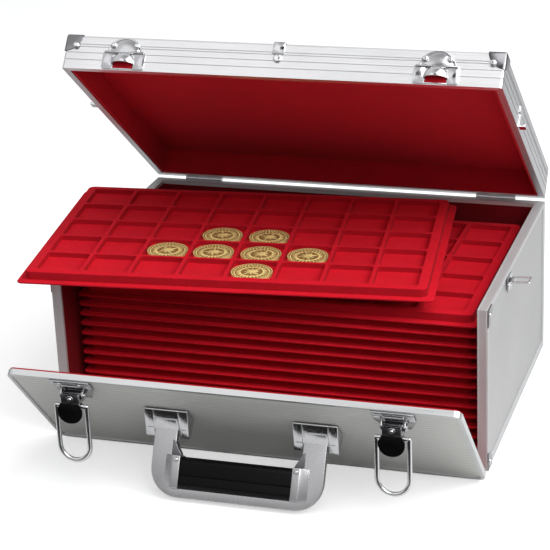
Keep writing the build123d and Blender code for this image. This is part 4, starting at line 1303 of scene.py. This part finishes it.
@dataclass
class Handle:
    """The carrying handle: two brackets on the flap, a flat frame and a black grip."""

    offset: float = 55.5
    face: float = -5.7
    pin: Span = (-14.7, 75.0)
    reach: float = 49.0
    arm_width: float = 17.0
    thick: float = 5.0
    strip: float = 6.5
    corner: float = 21.0
    bracket_half: float = 16.5
    bracket_low: float = 68.5
    bracket_high: float = 88.0
    bracket_out: float = 14.6
    cheek_tall: float = 23.6
    grip_deep: float = 6.0
    grip_tall: float = 22.9
    grip_round: float = 4.4
    seam: float = 9.8

    def inner(self) -> float:
        """Half the opening between the arms."""
        return self.offset - self.arm_width / 2

    def sill(self) -> float:
        """The level of the top of the frame's lower strip."""
        return self.pin[1] - self.reach + self.strip

    def bracket(self, x: float) -> Form:
        """A hollow cast wedge, open below for the arm, with two raised cheeks.

        Args:
            x: Its middle.

        Returns:
            The bracket on the closed flap.
        """
        form = Form()
        y, low, high, out = self.face, self.bracket_low, self.bracket_high, self.bracket_out
        inner, level = self.arm_width / 2 + 0.8, self.pin[1] + 3.9
        wedge = ((y, low), (y - out, low), (y - out, low + 2.5), (y - 1.2, high), (y, high))
        for side in (-1, 1):
            near, far = stretch(x, side, inner, self.bracket_half)
            form.plate(X, near, wedge, far - near)
        slope = ((y - 6.8, level), (y - 11.0, self.pin[1] + 1.6), (y - 1.2, high), (y, high), (y, level))
        form.plate(X, x - inner - 0.3, slope, 2 * inner + 0.6)
        form.block((x - inner - 0.3, x + inner + 0.3), (y - 2.0, y), (low, high - 1.0))
        form.soften(0.9, 3, 28.0)
        self._window(form, x)
        return form

    def _window(self, form: Form, x: float) -> None:
        """Raise the thin square border on the slope.

        Args:
            form: The bracket.
            x: Its middle.
        """
        y, low, high, out = self.face, self.bracket_low, self.bracket_high, self.bracket_out
        slope = Matrix.Rotation(-math.atan2(out - 1.2, high - low - 2.5), 4, "X")
        seat = Matrix.Translation((x, y - (out + 1.2) / 2, (high + low + 2.5) / 2)) @ slope
        before = set(form.mesh.verts)
        level, upright = (8.8, 0.55), (0.55, 4.6)
        border = ((0.0, 4.2, *level), (0.0, -5.6, *level), (-8.3, -0.7, *upright), (8.3, -0.7, *upright))
        for across, along, wide, tall in border:
            form.block((across - wide, across + wide), (-0.55, 0.4), (along - tall, along + tall))
        bmesh.ops.transform(form.mesh, matrix=seat, verts=[v for v in form.mesh.verts if v not in before])

    def cheeks(self) -> None:
        """Bright cast cheeks that widen the arms and hold the ends of the grip."""
        form = Form()
        y, inner = self.pin[0], self.inner()
        outline = ((6.8, -2.2), (0.2, -6.3), (-5.4, -6.3), (-5.4, 6.3), (0.2, 6.3), (6.8, 2.2))
        for side in (-1, 1):
            corners = [(MIDDLE + side * (inner + across), y + deep) for across, deep in outline]
            form.plate(Z, self.sill() + 0.02, corners, self.cheek_tall)
        form.soften(0.7, 3, 26.0)
        form.finish("handle_cheeks", POSE.handle(), "handle", SATIN_CHROME)

    def shade_fillets(self) -> None:
        """Painted shade: dark grey fillets that run from the top of the cheeks up the inside of the arms,
        where the casting's recess lies in shadow.
        """
        form = Form()
        inner, sill = self.inner(), self.sill()
        outline = ((2.4, 23.6), (-5.0, 23.6), (-4.4, 25.2), (-2.4, 28.4), (-0.4, 32.6), (2.4, 34.6))
        for side in (-1, 1):
            corners = [(MIDDLE + side * (inner + across), sill + level) for across, level in outline]
            form.plate(Y, self.pin[0] - 3.0, corners, 5.4)
        form.soften(0.5, 3, 26.0)
        form.finish("handle_gussets", POSE.handle(), "handle", DARKENED_CHROME)

    def knobs(self) -> None:
        """The small round screw heads that hold the grip at its upper ends."""
        form = Form()
        for side in (-1, 1):
            spot = (MIDDLE + side * (self.inner() - 2.4), self.pin[0] - 6.2, self.sill() + 20.4)
            form.dome(2.0, 1.4, spot, Facing.FRONT, 5)
        form.finish("handle_screw_heads", POSE.handle(), "handle", RIVET)

    def pins(self) -> None:
        """Both pivot pins."""
        form = Form()
        for side in (-1, 1):
            form.drum(2.0, 29.0, (MIDDLE + side * self.offset, *self.pin), Facing.RIGHT, 24)
        form.soften(0.2, 1, 60.0)
        form.finish("handle_pins", POSE.flap(), "flap", RIVET)

    def arms(self) -> None:
        """The flat frame: one sheet, rounded, with the grip's window cut out."""
        form = Form()
        (y, z), inner, sill = self.pin, self.inner(), self.sill()
        outer, tall = self.offset + self.arm_width / 2, self.reach + 1.0
        middle = Matrix.Translation((MIDDLE, y - self.thick / 2, z + 1.0 - tall / 2))
        bmesh.ops.create_grid(
            form.mesh, x_segments=1, y_segments=1, size=0.5,
            matrix=middle @ Facing.FRONT.turn() @ Matrix.Diagonal((2 * outer, tall, 1.0, 1.0)),
        )
        form.bevel([v for v in form.mesh.verts if v.co.z < z - self.reach + 0.1], self.corner, 10, "VERTICES")
        for side in (-1, 1):
            form.cut((MIDDLE + side * inner, 0.0, 0.0), (1.0, 0.0, 0.0), False)
        form.cut((0.0, 0.0, sill), (0.0, 0.0, 1.0), False)
        spots = {f: f.calc_center_median() for f in form.mesh.faces}
        window = [f for f, spot in spots.items() if abs(spot.x - MIDDLE) < inner and spot.z > sill]
        bmesh.ops.delete(form.mesh, geom=window, context="FACES")
        form.pull(form.mesh.faces[:], (0.0, self.thick, 0.0))
        form.right_normals()
        for side in (-1, 1):
            form.drum(self.thick / 2, self.arm_width, (MIDDLE + side * self.offset, y, z), Facing.RIGHT)
        form.soften(0.8, 3, 34.0)
        piece = form.finish("handle_arms", POSE.handle(), "handle", SATIN_CHROME)
        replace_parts(piece, "handle_frame")

    def grip(self) -> None:
        """The padded black grip that fills the frame's window, with a seam along it."""
        form = Form()
        y, inner, bottom = self.pin[0], self.inner() - 0.2, self.sill()
        thick = (y - self.grip_deep, y + self.grip_deep)
        made = form.block((MIDDLE - inner, MIDDLE + inner), thick, (bottom + 0.05, bottom + self.grip_tall))
        long = {e for v in made for e in v.link_edges if abs(e.verts[0].co.x - e.verts[1].co.x) > inner}
        form.bevel(long, self.grip_round, 8)
        for beside in (-0.4, 0.0, 0.4):
            form.cut((0.0, 0.0, bottom + self.seam + beside), (0.0, 0.0, 1.0), False)
        for vertex in form.mesh.verts:
            if abs(vertex.co.z - bottom - self.seam) < 0.05:
                vertex.co.y -= math.copysign(0.3, vertex.co.y - y)
        form.soften(0.4, 2, 50.0)
        piece = form.finish("handle_padded_grip", POSE.handle(), "handle", BLACK)
        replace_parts(piece, "handle_grip")

    def build(self) -> None:
        """Make the brackets, the frame and the grip."""
        for name, side in SIDES:
            wedge = self.bracket(MIDDLE + side * self.offset)
            piece = wedge.finish(f"handle_wedge_{name}", POSE.flap(), "flap", CHROME)
            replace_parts(piece, f"handle_bracket_{name}")
        self.pins()
        self.knobs()
        self.cheeks()
        self.shade_fillets()
        self.arms()
        self.grip()


@dataclass
class Studio:
    """Plain pale studio: floor, soft lamps and the camera of the photograph."""

    place: Point = (579.7, -1229.2, 660.0)
    azimuth: float = 18.19
    elevation: float = 21.68
    roll: float = -2.50
    focal_widths: float = 3.5395
    sensor_mm: float = 36.0
    aim: Point = (0.0, 0.0, 0.12)
    floor_half: float = 12.0
    floor_tone: float = 0.82
    floor_glow: float = 0.52
    card_tone: float = 0.02

    def camera(self) -> None:
        """Set the camera where the photograph was taken from."""
        az, el, roll = (math.radians(a) for a in (self.azimuth, self.elevation, self.roll))
        ahead = Vector((-math.sin(az) * math.cos(el), math.cos(az) * math.cos(el), -math.sin(el)))
        level = Vector((math.cos(az), math.sin(az), 0.0))
        above = level.cross(ahead)
        right = level * math.cos(roll) + above * math.sin(roll)
        up = above * math.cos(roll) - level * math.sin(roll)
        lens = bpy.data.cameras.new("photograph")
        lens.sensor_width = self.sensor_mm
        lens.lens = self.focal_widths * self.sensor_mm
        lens.clip_end = 50.0
        camera = bpy.data.objects.new("photograph", lens)
        spot = POSE.body() @ Vector(self.place)
        camera.matrix_world = Matrix.Translation(spot) @ Matrix((right, up, -ahead)).transposed().to_4x4()
        bpy.context.scene.collection.objects.link(camera)
        bpy.context.scene.camera = camera

    def lamp(self, name: str, spot: Point, size: Span, power: float) -> None:
        """Hang one soft lamp that points at the case.

        Args:
            name: The lamp's name.
            spot: Where it hangs, in metres.
            size: Its width and height in metres.
            power: Its power in watts.
        """
        light = bpy.data.lights.new(name, "AREA")
        light.shape = "RECTANGLE"
        light.size, light.size_y = size
        light.energy = power
        lamp = bpy.data.objects.new(name, light)
        look = Vector(self.aim) - Vector(spot)
        lamp.matrix_world = Matrix.Translation(spot) @ look.to_track_quat("-Z", "Y").to_matrix().to_4x4()
        bpy.context.scene.collection.objects.link(lamp)

    def sheet(self, name: str, half: Span, material: bpy.types.Material) -> Object:
        """Lay out one flat sheet of the stage.

        Args:
            name: Its name.
            half: Half its width and depth in metres.
            material: Its material.

        Returns:
            The sheet about the origin.
        """
        mesh = bmesh.new()
        size = Matrix.Diagonal((*half, 1.0, 1.0))
        bmesh.ops.create_grid(mesh, x_segments=1, y_segments=1, size=1.0, matrix=size)
        data = bpy.data.meshes.new(name)
        mesh.to_mesh(data)
        mesh.free()
        data.materials.append(material)
        made = bpy.data.objects.new(name, data)
        bpy.context.scene.collection.objects.link(made)
        return made

    def dark_card(self, name: str, spot: Point, turn: Span, half: Span) -> None:
        """Set up one dark card that only shiny metal sees, so that chrome gets its dark parts.

        Args:
            name: The card's name.
            spot: Its middle, in metres.
            turn: Its rotation about x and y, in degrees.
            half: Half its width and depth in metres.
        """
        cloth = bpy.data.materials.new(f"{name}_cloth")
        tree = bare_tree(cloth)
        black = add_node(tree, "ShaderNodeBsdfDiffuse", {"Color": (*[self.card_tone] * 3, 1.0)})
        add_node(tree, "ShaderNodeOutputMaterial", {"Surface": black.outputs[0]})
        card = self.sheet(name, half, cloth)
        card.location = spot
        card.rotation_euler = (*(math.radians(angle) for angle in turn), 0.0)
        card.visible_camera = False
        card.visible_diffuse = False
        card.visible_shadow = False
        card.visible_transmission = False

    def world(self) -> None:
        """White to the camera, soft grey light from all round to everything else."""
        world = bpy.data.worlds.new("studio")
        bpy.context.scene.world = world
        tree = bare_tree(world)
        path = add_node(tree, "ShaderNodeLightPath")
        place = add_node(tree, "ShaderNodeTexCoord").outputs["Generated"]
        way = add_node(tree, "ShaderNodeSeparateXYZ", {0: place}).outputs["Z"]
        rise = add_node(
            tree, "ShaderNodeMapRange",
            {"Value": way, "From Min": 0.0, "From Max": 0.9, "To Min": 0.07, "To Max": 0.5},
        )
        sky = {"Color": (0.97, 0.98, 1.0, 1.0), "Strength": rise.outputs["Result"]}
        soft = add_node(tree, "ShaderNodeBackground", sky)
        # What shiny metal mirrors: dark near the table, bright above, duller overhead.
        ramp = add_node(tree, "ShaderNodeValToRGB", {0: way})
        stops = ramp.color_ramp.elements
        for spot, level in ((0.12, 0.3), (0.35, 0.55), (0.6, 0.8), (0.88, 0.85)):
            stops.new(spot).color = (level, level, level, 1.0)
        stops[0].color = (0.2, 0.2, 0.2, 1.0)
        stops[-1].color = (0.4, 0.4, 0.4, 1.0)
        gleam = add_node(tree, "ShaderNodeBackground", {"Color": ramp.outputs["Color"], "Strength": 1.0})
        bright = add_node(tree, "ShaderNodeBackground", {"Color": (1.0, 1.0, 1.0, 1.0), "Strength": 1.0})
        mixed = soft
        for ray, other in (("Is Glossy Ray", gleam), ("Is Camera Ray", bright)):
            shares = {0: path.outputs[ray], 1: mixed.outputs[0], 2: other.outputs[0]}
            mixed = add_node(tree, "ShaderNodeMixShader", shares)
        add_node(tree, "ShaderNodeOutputWorld", {"Surface": mixed.outputs[0]})

    def floor(self) -> None:
        """A pale table that runs out to white and keeps the shadow of the case."""
        material = bpy.data.materials.new("pale_table")
        tree = bare_tree(material)
        path = add_node(tree, "ShaderNodeLightPath")
        matt = add_node(tree, "ShaderNodeBsdfDiffuse", {"Color": (*[self.floor_tone] * 3, 1.0)})
        glow = add_node(tree, "ShaderNodeEmission", {"Strength": self.floor_glow})
        none = add_node(tree, "ShaderNodeEmission", {"Strength": 0.0})
        shares = {0: path.outputs["Is Camera Ray"], 1: none.outputs[0], 2: glow.outputs[0]}
        seen = add_node(tree, "ShaderNodeMixShader", shares)
        both = add_node(tree, "ShaderNodeAddShader", {0: matt.outputs[0], 1: seen.outputs[0]})
        add_node(tree, "ShaderNodeOutputMaterial", {"Surface": both.outputs[0]})
        self.sheet("table", (self.floor_half, self.floor_half), material)

    def build(self) -> None:
        """Set up the whole studio."""
        self.camera()
        self.world()
        self.floor()
        self.lamp("key_overhead", (0.68, -0.25, 1.6), (1.8, 1.3), 16.5)
        self.lamp("lid_gleam", (-0.4, -0.7, 1.45), (0.8, 0.5), 0.6)
        self.lamp("front_right", (0.8, -1.4, 1.15), (0.8, 0.6), 3.9)
        self.lamp("fill_right", (1.35, -0.3, 1.1), (0.8, 0.8), 11.5)
        self.dark_card("dark_card_table", (0.0, -0.62, 0.004), (0.0, 0.0), (0.5, 0.41))
        self.dark_card("dark_card_above", (-0.06, -0.6, 1.32), (28.0, -14.0), (0.17, 0.13))
        bpy.context.scene.view_settings.view_transform = "Standard"


def main() -> None:
    """Build the case, assembly by assembly."""
    logging.basicConfig(level=logging.INFO, format="%(message)s")
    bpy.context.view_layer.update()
    Studio().build()
    Shell().build()
    Trays().build()
    Coins().build()
    LidFittings().build()
    BodyFittings().build()
    for name, side in SIDES:
        Latch(name, MIDDLE + side * LATCH_OFFSET).build()
    Handle().build()


if __name__ == "__main__":
    main()
